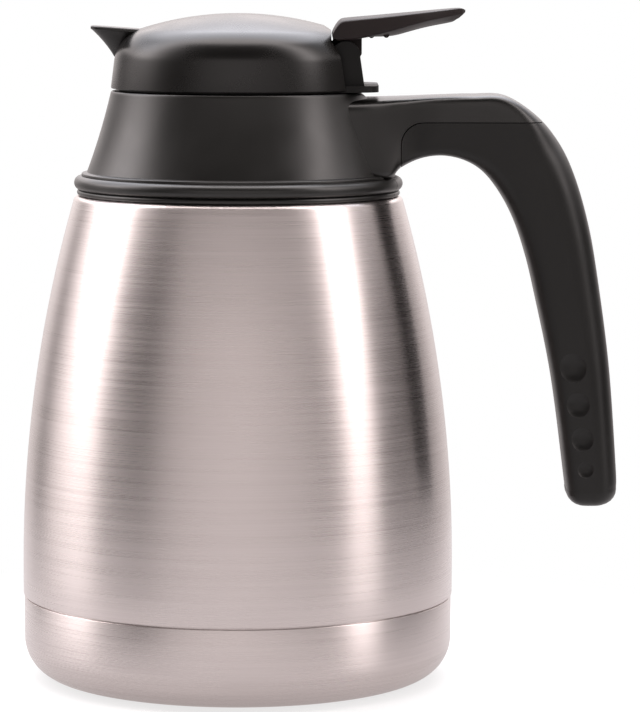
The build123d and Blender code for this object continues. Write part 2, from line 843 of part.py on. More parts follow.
def tongue():
    """The part of the lid floor that runs back over the neck's rim."""
    half = tongue_half
    reach = pivot_x + tongue_reach
    plate = polygon((0, -half), (reach, -half), (reach, half), (0, half))
    for side in (-1, 1):
        plate = round_corner(plate, reach, side * half, tongue_round)
    return upright_prism(plate, lid_floor_bottom, lid_floor_top)


def flow_opening():
    """The opening in the lid floor through which liquid rises on the spout's side."""
    near = -guide_radius - flow_margin
    far = -flow_reach
    outline = polygon((near, -flow_half), (far, -flow_half), (far, flow_half), (near, flow_half))
    for y in (-flow_half, flow_half):
        outline = round_corner(outline, far, y, flow_round)
        outline = round_corner(outline, near, y, flow_round / 3)
    return upright_prism(outline, lid_floor_bottom - over, lid_floor_top + over)


def cross_bore(radius, half):
    """A cylinder about the lever's pivot axis."""
    return cross_prism(Pos(pivot_x, pivot_z) * Circle(radius), half)


def lid_base():
    """Lid floor with the threaded barrel below it and the hinge block above it."""
    flange_radius = dome_skirt_radius - dome_wall - floor_clearance
    body = ring(0, flange_radius, lid_floor_bottom, lid_floor_top) + tongue()
    body += ring(barrel_radius - barrel_wall, barrel_radius, barrel_bottom, lid_floor_bottom)
    body += ring(0, guide_radius, guide_bottom, guide_top)
    body -= flow_opening()
    body += cross_prism(block_outline(), ear_half_outer)
    knuckle_reach = hypot(lever_bottom - pivot_z, ear_back - pivot_x) + knuckle_gap
    body -= cross_bore(knuckle_reach, ear_half_inner)
    near_side = (Align.MAX, Align.CENTER, Align.MIN)
    arm_way = Box(2 * pivot_x, 2 * ear_half_inner, dome_top, align=near_side)
    body -= Pos(pivot_x, 0, guide_top) * arm_way
    body -= cross_bore(pin_radius, ear_half_outer)
    body -= ring(0, stem_radius + running_clearance, guide_bottom - over, guide_top + over)
    for x, y in boss_places():
        body -= Pos(x, y, 0) * ring(0, screw_radius + press_clearance, 0, lid_floor_top)
    offset = thread_lead / thread_starts / 2
    for ridge in thread(barrel_radius, False, thread_base + offset):
        body += ridge
    return body


def lid_screws():
    length = lid_floor_thick + screw_depth
    made = screw(screw_radius, screw_head_radius, screw_head_thick, lid_floor_bottom, length)
    return Compound(children=[Pos(x, y, 0) * made for x, y in boss_places()])


def stopper_cup():
    """Cup under the lid: a sleeve inside the barrel, a gasket groove and the valve's seat."""
    outer = mouth_radius - cup_clearance
    sleeve = barrel_radius - barrel_wall
    hole = valve_hole_radius
    inner = outer - cup_wall
    sleeve_inner = sleeve - cup_wall
    section = Polyline(
        (hole, cup_bottom),
        (outer, cup_bottom),
        (outer, seal_height),
        (outer - seal_depth, seal_height),
        (outer - seal_depth, seal_height + seal_thick),
        (outer, seal_height + seal_thick),
        (outer, barrel_bottom),
        (sleeve, barrel_bottom),
        (sleeve, cup_sleeve_top),
        (sleeve_inner, cup_sleeve_top),
        (sleeve_inner, barrel_bottom),
        (inner - seal_depth, barrel_bottom - 2 * seal_depth),
        (inner - seal_depth, cup_bottom + cup_floor),
        (hole, cup_bottom + cup_floor),
        close=True,
    )
    return spin(make_face(section))


def stopper_gasket():
    """Ring in the cup's groove with two sealing lips that bear on the steel mouth."""
    inner = mouth_radius - cup_clearance - seal_depth + seal_clearance
    lip = mouth_radius - seal_clearance
    bottom = seal_height + seal_clearance
    top = seal_height + seal_thick - seal_clearance
    middle = (bottom + top) / 2
    waist = lip - seal_depth / 2
    section = Polyline(
        (inner, bottom),
        (waist, bottom),
        (lip, (bottom + middle) / 2),
        (waist, middle),
        (lip, (middle + top) / 2),
        (waist, top),
        (inner, top),
        close=True,
    )
    return spin(make_face(section))


# ---- Valve ----
def valve_stem():
    """Stem and plug in one moulding, with a groove for the clip near the top."""
    seat = cup_bottom + cup_floor + rest_gap
    plug_bottom = seat + valve_seal_thick
    nose_radius = valve_hole_radius - plug_nose_clearance
    section = Polyline(
        (0, seat - plug_nose),
        (nose_radius - plug_nose_chamfer, seat - plug_nose),
        (nose_radius, seat),
        (nose_radius, plug_bottom),
        (plug_radius, plug_bottom),
        (plug_radius, plug_bottom + plug_thick / 2),
        (plug_neck_radius, plug_bottom + plug_thick),
        (stem_radius, plug_bottom + plug_thick),
        (stem_radius, clip_height),
        (stem_radius - clip_groove_depth, clip_height),
        (stem_radius - clip_groove_depth, clip_height + clip_thick),
        (stem_radius, clip_height + clip_thick),
        (stem_radius, stem_top),
        (0, stem_top),
        close=True,
    )
    return spin(make_face(section))


def valve_seal():
    seat = cup_bottom + cup_floor + rest_gap
    return ring(valve_hole_radius - plug_nose_clearance, plug_radius, seat, seat + valve_seal_thick)


def stem_clip():
    """Open clip snapped into the groove of the stem."""
    clip = ring(stem_radius - clip_groove_depth, clip_radius, clip_height, clip_height + clip_thick)
    opening = Box(2 * clip_radius, 2 * clip_opening_half, dome_top)
    return clip - Pos(-clip_radius, 0, dome_top) * opening


def valve_spring():
    bottom = cup_bottom + cup_floor + rest_gap + valve_seal_thick + plug_thick
    start = bottom + spring_wire_radius
    height = guide_bottom - spring_wire_radius - start
    path = Helix(height / spring_turns, height, spring_mean_radius)
    wire = Plane.XZ * Pos(spring_mean_radius, 0) * Circle(spring_wire_radius)
    return Pos(0, 0, start) * sweep(wire, path=path, is_frenet=True)


# ---- Thumb lever ----
def lever_outline():
    """Side outline of the paddle on the symmetry plane, drawn as (x, z)."""
    outline = polygon(
        (lever_front, lever_front_height),
        (lever_heel, lever_heel_height),
        (lever_tip, lever_tip_top),
        (lever_tip, lever_tip_top - lever_tip_thick),
        (lever_bend, lever_bend_height),
        (lever_root, lever_bottom),
        (lever_front + lever_foot_setback, lever_bottom),
    )
    return round_corner(outline, lever_heel, lever_heel_height, lever_heel_round)


def lever_plan():
    """Outline of the paddle seen from above: straight across the front, rounded at the tip."""
    front = lever_front - over
    side = Spline(
        (front, lever_half),
        (lever_bend, lever_bend_half),
        (lever_shoulder, lever_shoulder_half),
        tangents=((1, 0), (1, -0.5)),
    )
    nose = Spline(side @ 1, (lever_tip, 0), tangents=(side % 1, (0, -1)))
    half = make_face(Polyline((lever_tip, 0), (front, 0), side @ 0) + side + nose)
    return half + mirror(half, Plane.XZ)


def knuckle_outline():
    """Side outline of the knuckle on the pin and the arm that reaches in to the stem."""
    pad_top = clip_height - fork_gap
    pad_bottom = pad_top - 2 * fork_pad_radius
    web_back = ear_back - over
    web_top = lever_bottom + over
    knuckle = Pos(pivot_x, pivot_z) * Circle(ear_round)
    web = polygon(
        (pivot_x - ear_round, pivot_z),
        (pivot_x - ear_round, web_top),
        (web_back, web_top),
        (web_back, pivot_z),
    )
    arm = polygon(
        (pivot_x, pivot_z + ear_round - over),
        (clip_radius + over, pad_top),
        (0, pad_top),
        (0, pad_bottom),
        (pivot_x, pivot_z - ear_round),
    )
    pad = Pos(0, pad_top - fork_pad_radius) * Circle(fork_pad_radius)
    return knuckle + web + arm + pad


def keel_cut():
    """Wedges that thin the paddle's underside towards both edges."""
    start = (lever_keel_start, 0, lever_bottom + lever_keel_drop)
    rise = (lever_tip_top - lever_tip_thick - lever_bottom) / (lever_tip - lever_keel_start)
    plane = Plane(origin=start, x_dir=(0, 1, 0), z_dir=(1, 0, rise))
    far = lever_half + over
    triangle = polygon(
        (lever_keel_half, 0),
        (far, lever_keel_rise),
        (far, -keel_tool_depth),
        (lever_keel_half, -keel_tool_depth),
    )
    wedge = plane * extrude(triangle, amount=lever_tip)
    return wedge + mirror(wedge, Plane.XZ)


def thumb_lever():
    """Paddle, knuckle and inner arm in one moulding; the arm ends in a fork round the stem."""
    blank = cross_prism(lever_outline(), lever_half + over)
    paddle = blank & upright_prism(lever_plan(), pivot_z, lever_tip_top + over)
    paddle -= keel_cut()
    rim = paddle.edges().sort_by(SortBy.LENGTH)[-1]
    paddle = paddle.solid().fillet(lever_edge_round, [rim])
    for index in range(rib_count):
        x = rib_start + index * rib_spacing
        paddle += cross_prism(Pos(x, lever_bottom + rib_radius) * Circle(rib_radius), rib_half)
    inner_half = ear_half_inner - knuckle_gap
    lever = paddle + cross_prism(knuckle_outline(), inner_half)
    near_side = (Align.MAX, Align.CENTER, Align.MIN)
    slot = Box(dome_radius, 2 * fork_slot_half, dome_top, align=near_side)
    lever -= Pos(fork_slot_depth, 0, guide_top) * slot
    return lever - cross_bore(pin_radius + pin_clearance, inner_half + over)


def lever_pin():
    return cross_bore(pin_radius, ear_half_outer)


# ---- Write ----
os.makedirs("parts", exist_ok=True)
nodes = {
    "outer_shell": outer_shell,
    "inner_liner": inner_liner,
    "vacuum_bottom": vacuum_bottom,
    "port_seal": port_seal,
    "getter": getter,
    "base_cup": base_cup,
    "neck": neck,
    "collar_ring": collar_ring,
    "neck_gasket": neck_gasket,
    "handle_grip": handle_grip,
    "handle_screws": handle_screws,
    "lid_shell": lid_shell,
    "lid_base": lid_base,
    "lid_screws": lid_screws,
    "stopper_cup": stopper_cup,
    "stopper_gasket": stopper_gasket,
    "valve_stem": valve_stem,
    "valve_seal": valve_seal,
    "valve_spring": valve_spring,
    "stem_clip": stem_clip,
    "thumb_lever": thumb_lever,
    "lever_pin": lever_pin,
}
for node, make in nodes.items():
    export_step(make(), "parts/" + node + ".step")
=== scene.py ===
# %% [markdown]
# A one-litre vacuum carafe: a brushed steel flask with a black moulded neck, handle and lid.
# This first cell brings in the working model, which holds the true size and place of every part.
# Each part is then either given a finish or covered by a piece that is modelled more finely.
# Everything below is in the model's own frame: the flask stands on z = 0 about the upright axis,
# the handle is at +X and the spout at -X.

# %% Load the frame
import math
import bmesh
import bpy
from mathutils import Matrix, Vector
from mathutils.geometry import interpolate_bezier


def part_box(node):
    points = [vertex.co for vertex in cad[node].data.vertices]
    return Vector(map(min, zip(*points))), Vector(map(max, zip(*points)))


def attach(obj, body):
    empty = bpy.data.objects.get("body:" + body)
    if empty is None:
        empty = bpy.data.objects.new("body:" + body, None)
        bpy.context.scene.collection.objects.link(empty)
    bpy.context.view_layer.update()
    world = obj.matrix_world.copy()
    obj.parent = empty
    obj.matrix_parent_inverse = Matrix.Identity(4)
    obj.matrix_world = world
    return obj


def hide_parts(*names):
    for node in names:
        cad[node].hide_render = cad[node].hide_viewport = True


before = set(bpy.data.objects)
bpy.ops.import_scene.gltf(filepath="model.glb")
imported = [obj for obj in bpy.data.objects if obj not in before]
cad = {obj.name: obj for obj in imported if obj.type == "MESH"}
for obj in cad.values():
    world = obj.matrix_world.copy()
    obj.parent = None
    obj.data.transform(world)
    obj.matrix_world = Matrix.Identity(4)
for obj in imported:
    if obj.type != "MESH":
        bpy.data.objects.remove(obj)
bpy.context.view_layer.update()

mm = 0.001

# %% [markdown]
# The camera is a long lens, a little higher than the lid and tipped down by six degrees.
# A camera can be aimed with a Track To constraint, or by a rotation matrix built from its three
# axes. The matrix is used here because the camera is also rolled by a fraction of a degree.

# %% Camera
aim = Vector((24.70, 0.0, 96.96)) * mm
distance = 1109.2 * mm
pitch = math.radians(6.21)
roll = 0.0038
frame_height = 712
focal_pixels = 3669.4

forward = Vector((0, math.cos(pitch), -math.sin(pitch)))
level_right = Vector((1, 0, 0))
level_up = Vector((0, math.sin(pitch), math.cos(pitch)))
right = level_right * math.cos(roll) + level_up * math.sin(roll)
up = level_up * math.cos(roll) - level_right * math.sin(roll)
camera = bpy.data.objects.new("camera", bpy.data.cameras.new("camera"))
camera.data.sensor_fit = "VERTICAL"
camera.data.sensor_height = 36
camera.data.lens = camera.data.sensor_height * focal_pixels / frame_height
turned = Matrix((right, up, -forward)).transposed().to_4x4()
camera.matrix_world = Matrix.Translation(aim - forward * distance) @ turned
bpy.context.scene.collection.objects.link(camera)
bpy.context.scene.camera = camera
bpy.context.scene.view_settings.view_transform = "Standard"
print("lens in mm:", round(camera.data.lens, 1))

# %% [markdown]
# Every finish here is a small recipe of nodes. Nodes can be added one by one with their names and
# links, but sums are easier to read as sums. So one small class wraps the output of a node: Python's
# own +, - and * then add the Math nodes, and one method adds any other node.


# %% A wire that does arithmetic
class Wire:
    """The output of a node. Arithmetic on it adds Math nodes."""

    def __init__(self, tree, socket=None):
        self.tree = tree
        self.socket = socket

    def node(self, kind, settings=None, values=None, output=0):
        """Add a node of a kind, with its settings first and then the values or wires of its sockets."""
        made = self.tree.nodes.new("ShaderNode" + kind)
        for name, setting in (settings or {}).items():
            if name == "stops":
                for index, (place, level) in enumerate(setting):
                    stops = made.color_ramp.elements
                    stop = stops[index] if index < 2 else stops.new(place)
                    stop.position = place
                    stop.color = (level, level, level, 1)
            elif name == "ramp":
                made.color_ramp.interpolation = setting
            else:
                setattr(made, name, setting)
        for name, value in (values or {}).items():
            if isinstance(value, Wire):
                self.tree.links.new(value.socket, made.inputs[name])
            else:
                made.inputs[name].default_value = value
        return Wire(self.tree, made.outputs[output]) if made.outputs else None

    def maths(self, operation, *values):
        return self.node("Math", {"operation": operation}, dict(enumerate(values)))

    def __add__(self, other):
        return self.maths("ADD", self, other)

    def __sub__(self, other):
        return self.maths("SUBTRACT", self, other)

    def __rsub__(self, other):
        return self.maths("SUBTRACT", other, self)

    def __mul__(self, other):
        return self.maths("MULTIPLY", self, other)

    __radd__ = __add__
    __rmul__ = __mul__


def fade(value, start, end, low=0.0, high=1.0):
    """Go smoothly from low to high while the value goes from start to end."""
    limits = {"Value": value, "From Min": start, "From Max": end, "To Min": low, "To Max": high}
    return value.node("MapRange", {"interpolation_type": "SMOOTHSTEP"}, limits)


def blend(share, low, high):
    """A colour between two others."""
    return share.node("Mix", {"data_type": "RGBA"}, {0: share, 6: low, 7: high}, 2)


# %% [markdown]
# The light is a photographer's studio. Area lamps would do, but brushed metal shows every lamp's
# outline, so the whole room is drawn on the world instead. Three numbers place a spot in the room:
# how far across, how deep and how high it lies. The first two give its bearing.

# %% The room
room = bpy.data.worlds.new("room")
room.use_nodes = True
bpy.context.scene.world = room
room.node_tree.nodes.clear()
air = Wire(room.node_tree)
direction = air.node("TexCoord", output="Generated")
across = air.node("SeparateXYZ", values={"Vector": direction}, output="X")
deep = air.node("SeparateXYZ", values={"Vector": direction}, output="Y")
rise = air.node("SeparateXYZ", values={"Vector": direction}, output="Z")
bearing = air.maths("ARCTAN2", across, deep * -1)
print("nodes for directions:", len(room.node_tree.nodes))

# %% [markdown]
# Two rows of panels stand round the carafe. Round steel gets its shape from bright panels with dark
# gaps beside them, so each row is a colour ramp of light levels that runs once round the room. The
# upper row is far brighter, because black plastic only shows what is very bright. A ramp holds
# nothing above one, so its levels are divided by the brightest and multiplied again behind it.

# %% Rows of panels
brightest = 8.0


def panels(levels):
    """Light levels by bearing in degrees: 0 is the front, negative is the left."""
    stops = [((degrees + 180) / 360, level / brightest) for degrees, level in levels]
    turn_share = bearing * (1 / math.tau) + 0.5
    settings = {"ramp": "B_SPLINE", "stops": stops}
    return air.node("ValToRGB", settings, {"Fac": turn_share}) * brightest


side_levels = [
    (-180, 1.15), (-160, 1.2), (-146, 0.9), (-136, 0.25), (-128, 0.3), (-116, 1.3), (-104, 1.65),
    (-92, 1.65), (-85, 1.45), (-77, 0.08), (-54, 0.02), (-43, 0.4), (-32, 0.72), (-18, 0.9),
    (0, 1.0), (16, 0.9), (34, 0.7), (48, 0.42), (60, 0.4), (67, 1.75), (72, 1.7), (76, 1.6),
    (81, 1.0), (86, 0.0), (112, 0.04), (132, 0.22), (148, 0.9), (162, 1.15), (180, 1.15),
]
high_levels = [
    (-180, 2.4), (-140, 2.2), (-122, 2.2), (-112, 4.6), (-102, 7.4), (-94, 7.0), (-84, 2.6),
    (-73, 0.3), (-40, 0.1), (40, 0.1), (59, 0.3), (67, 4.4), (74, 6.8), (81, 4.4), (88, 0.8),
    (112, 0.9), (132, 2.0), (180, 2.4),
]
side = panels(side_levels)
high = panels(high_levels)
print("panels in the rows:", len(side_levels), "and", len(high_levels))

# %% [markdown]
# The rows are stacked by height with soft changes between them: a dimmer copy of the side row below
# the skyline, the side row, the upper row, and a bright slanted ceiling. In front the upper row
# starts higher, which keeps the front of the black plastic dark. The light is a little warm, but
# cooler high up behind. The camera itself sees plain white.

# %% Stacking the rows
skyline = (-0.06, 0.02)
row_change = (0.18, 0.3)
ceiling_edge = (0.8, 0.94)
ceiling_slant = 0.35
overhead = 5.6
ground_share = 0.5
ground_level = 0.2
front_shift = fade(deep, -0.75, -0.5, 0.17, 0.0)
warm_light = (1.0, 0.92, 0.905, 1)
cool_light = (0.97, 0.965, 1.03, 1)
white = (1, 1, 1, 1)


def change_over(place, edge, before, after):
    """Go from one level of light to another as a place passes an edge."""
    return before * fade(place, *edge, 1.0, 0.0) + after * fade(place, *edge)


level = change_over(rise, skyline, side * ground_share + ground_level, side)
level = change_over(rise - front_shift, row_change, level, high)
level = change_over(rise + deep * ceiling_slant, ceiling_edge, level, overhead)
seen = air.node("LightPath", output="Is Camera Ray")
strength = level * (1 - seen) + seen
coolness = fade(rise, 0.3, 0.6) * fade(deep, 0.0, 0.3)
tone = blend(seen, blend(coolness, warm_light, cool_light), white)
light = air.node("Background", values={"Color": tone, "Strength": strength})
air.node("OutputWorld", values={"Surface": light})
print("room nodes:", len(room.node_tree.nodes))

# %% [markdown]
# The floor is a round pale sheet just under the foot, small enough that its far edge doesn't show as
# a line in the steel. Paint alone would pick up grey patches from the room, so the sheet also glows.
# The camera sees white, with a share of the paint left near the flask, which keeps its soft shadow.
# Reflections see a dimmer and warmer glow. A Mix Shader shares the sheet out between the two.

# %% Floor
floor_radius = 360.0
floor_drop = 0.1
sheet = bmesh.new()
bmesh.ops.create_circle(sheet, cap_ends=True, segments=96, radius=floor_radius * mm)
bmesh.ops.translate(sheet, verts=sheet.verts, vec=(0, 0, -floor_drop * mm))
floor_mesh = bpy.data.meshes.new("floor")
sheet.to_mesh(floor_mesh)
sheet.free()
floor = bpy.data.objects.new("floor", floor_mesh)
bpy.context.scene.collection.objects.link(floor)

paint_low = (0.86, 0.86, 0.86, 1)
paint_high = (0.9, 0.9, 0.9, 1)
reflected_glow = (0.66, 0.61, 0.605, 1)
reflected_share = 0.85
shadow_reach = (0.06, 0.2)
shadow_glow = 0.7
floor_paint = bpy.data.materials.new("floor_paint")
floor_paint.use_nodes = True
floor_paint.node_tree.nodes.clear()
paint = Wire(floor_paint.node_tree)
grain = paint.node("TexNoise", values={"Scale": 3.0})
matt = paint.node("BsdfDiffuse", values={"Color": blend(grain, paint_low, paint_high)})
camera_ray = paint.node("LightPath", output="Is Camera Ray")
glow_colour = blend(camera_ray, reflected_glow, white)
glow = paint.node("Emission", values={"Color": glow_colour, "Strength": 1.0})
glossy_ray = paint.node("LightPath", output="Is Glossy Ray")
place = paint.node("TexCoord", output="Object")
reach = paint.node("VectorMath", {"operation": "LENGTH"}, {0: place}, "Value")
own_light = camera_ray * fade(reach, *shadow_reach, shadow_glow, 1.0) + glossy_ray * reflected_share
floor_look = paint.node("MixShader", values={0: own_light, 1: matt, 2: glow})
paint.node("OutputMaterial", values={"Surface": floor_look})
floor_mesh.materials.append(floor_paint)
print("floor nodes:", len(floor_paint.node_tree.nodes))

# %% [markdown]
# Finishes. A moulded or rolled surface is never one flat value: brushing leaves fine lines round the
# flask, and plastic has a faint grain and softer and glossier patches. Each recipe below sets the
# constant values on the shader itself and feeds it only what changes over the surface. Noise keeps
# mostly to the middle of its range, so that span is stretched before it is used.


# %% Helpers for finishes
grain_span = (0.3, 0.7)
patch_span = (0.35, 0.65)


def start_finish(name, **constants):
    """A new material with its shader, ready for what changes over the surface."""
    finish = bpy.data.materials.new(name)
    finish.use_nodes = True
    shader = finish.node_tree.nodes["Principled BSDF"]
    for socket, value in constants.items():
        shader.inputs[socket.replace("_", " ")].default_value = value
    return finish, Wire(finish.node_tree), shader


def feed(shader, **wires):
    """Link what changes over the surface to the sockets of the shader."""
    for socket, wire in wires.items():
        shader.id_data.links.new(wire.socket, shader.inputs[socket.replace("_", " ")])


def grain_of(wire, size, detail=2.0, stretch=(1, 1, 1)):
    """Noise whose patches are about the given size in millimetres, stretched along the axes."""
    place = wire.node("TexCoord", output="Object")
    spread = wire.node("Mapping", values={"Vector": place, "Scale": [1 / part for part in stretch]})
    return wire.node("TexNoise", values={"Vector": spread, "Scale": 1 / (size * mm), "Detail": detail})


def relief(wire, height, depth, strength=1.0):
    """Surface relief with a depth in millimetres."""
    return wire.node("Bump", values={"Height": height, "Distance": depth * mm, "Strength": strength})


# %% [markdown]
# Brushed steel. The flask is turned against an abrasive belt, which leaves fine level lines all the
# way round. Lines blur a reflection across themselves, so highlights stretch up and down. The
# shader's Anisotropic value does that, turned by a quarter because its own direction runs the other
# way. The lines are also drawn, as noise squeezed to an eighth of a millimetre in height.

# %% Brushed steel
# The dark and pale tones of the brushing grain, mixed only by the noise of the lines, not by light.
steel_dark_grain = (0.63, 0.575, 0.565, 1)
steel_pale_grain = (0.71, 0.652, 0.642, 1)
brushed_look = {"Metallic": 1.0, "Anisotropic": 0.85, "Anisotropic_Rotation": 0.25}
brushed_steel, wire, shader = start_finish("brushed_steel", **brushed_look)
lines = grain_of(wire, 1.0, 3.0, (60, 60, 0.12))
broad_lines = grain_of(wire, 1.0, 2.0, (200, 200, 1.2))
patches = grain_of(wire, 40.0, 2.0)
brushing = lines * 0.7 + broad_lines * 0.3
steel_colour = blend(fade(brushing, *grain_span), steel_dark_grain, steel_pale_grain)
steel_roughness = fade(brushing, *grain_span, 0.24, 0.29) + fade(patches, *patch_span, 0.0, 0.03)
feed(shader, Base_Color=steel_colour, Roughness=steel_roughness, Normal=relief(wire, lines, 0.01, 0.3))
print("brushed steel nodes:", len(brushed_steel.node_tree.nodes))


# %% [markdown]
# Bright steel for the liner, the screws, the spring and the clip: drawn or pressed, so smoother than
# the flask, with faint marks of the tool. The getter inside is duller. One function makes all
# three, because only colour, gloss and the size of the marks differ.


# %% Bright steel
def bright_steel(name, colour, roughness, mark_size):
    """Plain steel with level marks of about the given size in millimetres."""
    finish, wire, shader = start_finish(name, Metallic=1.0)
    marks = grain_of(wire, mark_size, 3.0, (4, 4, 1))
    darker = [part * 0.88 for part in colour]
    tint = blend(fade(marks, *grain_span), (*darker, 1), (*colour, 1))
    gloss = fade(marks, *grain_span, roughness, roughness + 0.08)
    feed(shader, Base_Color=tint, Roughness=gloss, Normal=relief(wire, marks, 0.01, 0.4))
    return finish


liner_steel = bright_steel("liner_steel", (0.66, 0.64, 0.62), 0.18, 1.5)
screw_steel = bright_steel("screw_steel", (0.62, 0.61, 0.60), 0.22, 0.3)
getter_metal = bright_steel("getter_metal", (0.30, 0.29, 0.28), 0.5, 0.2)
print("finishes so far:", len(bpy.data.materials))


# %% [markdown]
# Moulded plastic, black but for the brown of the lever and the greys inside. The mould's fine spark
# texture shows as a very shallow grain, and handling leaves slightly glossier patches. Both are
# noise of the right size in Object coordinates. The seals are duller, with a finer, deeper grain.


# %% Moulded plastic
def moulded_plastic(name, colour, roughness, shine=0.6, grain_size=0.35, grain_depth=0.006):
    """Plastic with broad glossier patches and a fine grain, sized in millimetres."""
    finish, wire, shader = start_finish(name, Specular_IOR_Level=shine)
    fine = grain_of(wire, grain_size, 3.0)
    broad = grain_of(wire, 18.0, 2.0)
    lighter = [part * 1.25 for part in colour]
    tint = blend(fade(broad * 0.6 + fine * 0.4, *patch_span), (*colour, 1), (*lighter, 1))
    gloss = fade(broad, *patch_span, -0.03, 0.03) + fade(fine, *grain_span, -0.02, 0.02) + roughness
    feed(shader, Base_Color=tint, Roughness=gloss, Normal=relief(wire, fine, grain_depth, 0.6))
    return finish


neck_black = moulded_plastic("neck_black", (0.0045, 0.0043, 0.0036), 0.33, 0.55)
grip_black = moulded_plastic("grip_black", (0.0032, 0.0030, 0.0026), 0.36, 0.38)
lid_black = moulded_plastic("lid_black", (0.0035, 0.0032, 0.0028), 0.27, 0.45)
lever_brown = moulded_plastic("lever_brown", (0.0120, 0.0078, 0.0074), 0.52, 0.25)
block_black = moulded_plastic("block_black", (0.0030, 0.0028, 0.0025), 0.5, 0.25)
stopper_grey = moulded_plastic("stopper_grey", (0.030, 0.030, 0.031), 0.45)
seal_grey = moulded_plastic("seal_grey", (0.32, 0.31, 0.30), 0.55, 0.5, 0.2, 0.01)
print("finishes:", len(bpy.data.materials))

# %% [markdown]
# Every part of the working model gets its finish here. What is inside and the small hardware keep
# their shape from it and are seen with this finish. The last five rows are covered by finer pieces
# further down, and carry the same finish as those.

# %% Finishes of the working model
part_finishes = [
    (liner_steel, "inner_liner", "vacuum_bottom"),
    (getter_metal, "port_seal", "getter"),
    (screw_steel, "handle_screws", "lid_screws", "valve_spring", "stem_clip"),
    (seal_grey, "neck_gasket", "stopper_gasket", "valve_seal"),
    (stopper_grey, "stopper_cup", "valve_stem"),
    (block_black, "lid_base", "lever_pin"),
    (brushed_steel, "outer_shell", "base_cup"),
    (neck_black, "neck", "collar_ring"),
    (grip_black, "handle_grip"),
    (lid_black, "lid_shell"),
    (lever_brown, "thumb_lever"),
]
for finish, *names in part_finishes:
    for name in names:
        slots = cad[name].data.materials
        slots.clear()
        slots.append(finish)
print("parts with a finish:", sum(len(row) - 1 for row in part_finishes))

# %% [markdown]
# Most of the carafe is turned: the flask, its base, the neck, the collar and the dome. A turned
# part could be a stack of cylinders, but then its curves would be lost. So each is drawn once as a
# half section, with true arcs, and that section is spun about the upright axis in fine steps.


# %% Half sections
turn_steps = 256
merge_distance = 0.5e-6


def tidy_up(mesh):
    """Merge what touches, close the poles and point the faces outwards."""
    bmesh.ops.remove_doubles(mesh, verts=mesh.verts, dist=merge_distance)
    bmesh.ops.dissolve_degenerate(mesh, edges=mesh.edges, dist=merge_distance)
    bmesh.ops.recalc_face_normals(mesh, faces=mesh.faces)


def edges_among(parts):
    return [part for part in parts if isinstance(part, bmesh.types.BMEdge)]


class Section:
    """A half section, drawn point by point as radius and height in millimetres."""

    def __init__(self, radius, height):
        self.mesh = bmesh.new()
        self.start = self.end = self.mesh.verts.new((radius * mm, 0, height * mm))

    def line(self, *places):
        for radius, height in places:
            corner = self.mesh.verts.new((radius * mm, 0, height * mm))
            self.mesh.edges.new((self.end, corner))
            self.end = corner
        return self

    def arc(self, centre, degrees, steps=8):
        """Go round a centre, anticlockwise where the angle is positive."""
        middle = (centre[0] * mm, 0, centre[1] * mm)
        turn = {"axis": (0, -1, 0), "angle": math.radians(degrees), "steps": steps}
        spun = bmesh.ops.spin(self.mesh, geom=[self.end], cent=middle, **turn)
        self.end = spun["geom_last"][0]
        return self

    def bow(self, place, rise, steps=8):
        """Go to a place on an arc that bows out to the right of the way there, or left if negative."""
        here = Vector((self.end.co.x, self.end.co.z)) / mm
        chord = Vector(place) - here
        radius = (chord.length_squared / 4 + rise**2) / (2 * abs(rise))
        left = Vector((-chord.y, chord.x)).normalized()
        side = math.copysign(1, rise)
        centre = here + chord / 2 + left * side * (radius - abs(rise))
        turn = 2 * math.asin(chord.length / 2 / radius)
        return self.arc(centre, side * math.degrees(turn), steps)

    def close(self):
        self.mesh.edges.new((self.end, self.start))
        return self

    def turned(self, degrees=360, steps=turn_steps):
        """Spin the section about the upright axis, and give the mesh."""
        drawn = self.mesh.verts[:] + self.mesh.edges[:]
        whole = degrees == 360
        turn = {"axis": (0, 0, 1), "angle": math.radians(degrees), "steps": steps, "use_merge": whole}
        spun = bmesh.ops.spin(self.mesh, geom=drawn, cent=(0, 0, 0), **turn)
        if not whole:
            bmesh.ops.contextual_create(self.mesh, geom=edges_among(drawn))
            bmesh.ops.contextual_create(self.mesh, geom=edges_among(spun["geom_last"]))
        tidy_up(self.mesh)
        return self.mesh


print("steps in a full turn:", turn_steps)

# %% [markdown]
# A moulded or pressed edge is never knife sharp, and the small round on it is what catches the light.
# The edges to round are found by their radius and height, and the bevel operator rounds them.


# %% Rounding edges
near_enough = 0.02


def ring_edges(mesh, radius, height):
    """The edges that run round the axis at a radius and height."""
    found = []
    for edge in mesh.edges:
        reach = [abs(math.hypot(v.co.x, v.co.y) / mm - radius) for v in edge.verts]
        level = [abs(v.co.z / mm - height) for v in edge.verts]
        if max(reach) < near_enough and max(level) < near_enough:
            found.append(edge)
    return found


def soften(mesh, edges, amount, steps=3):
    """Round edges off. The amount is in millimetres, measured along the faces."""
    rounding = {"affect": "EDGES", "segments": steps, "profile": 0.5, "material": -1}
    bmesh.ops.bevel(mesh, geom=edges, offset=amount * mm, **rounding)


print("an edge counts as found within", near_enough, "mm")

# %% [markdown]
# Each finished mesh becomes an object. It stays at the origin, with its place in its mesh, and rides
# on the body of the working model that carries the real part, so that it moves with the joints. It
# also hides the coarser part it stands for. Smooth shading stops at edges sharper than the crease.


# %% Adding a piece
def add_piece(name, mesh, body, finish, slot, *stands_for, crease=30):
    """Make an object of a mesh: smooth but for its creases, riding on a body of the frame."""
    data = bpy.data.meshes.new(name)
    mesh.to_mesh(data)
    mesh.free()
    data.shade_smooth()
    data.set_sharp_from_angle(angle=math.radians(crease))
    data.materials.append(finish)
    piece = bpy.data.objects.new(name, data)
    bpy.context.scene.collection.objects.link(piece)
    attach(piece, body)
    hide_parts(*stands_for)
    print(name, "faces:", len(data.polygons))
    return piece


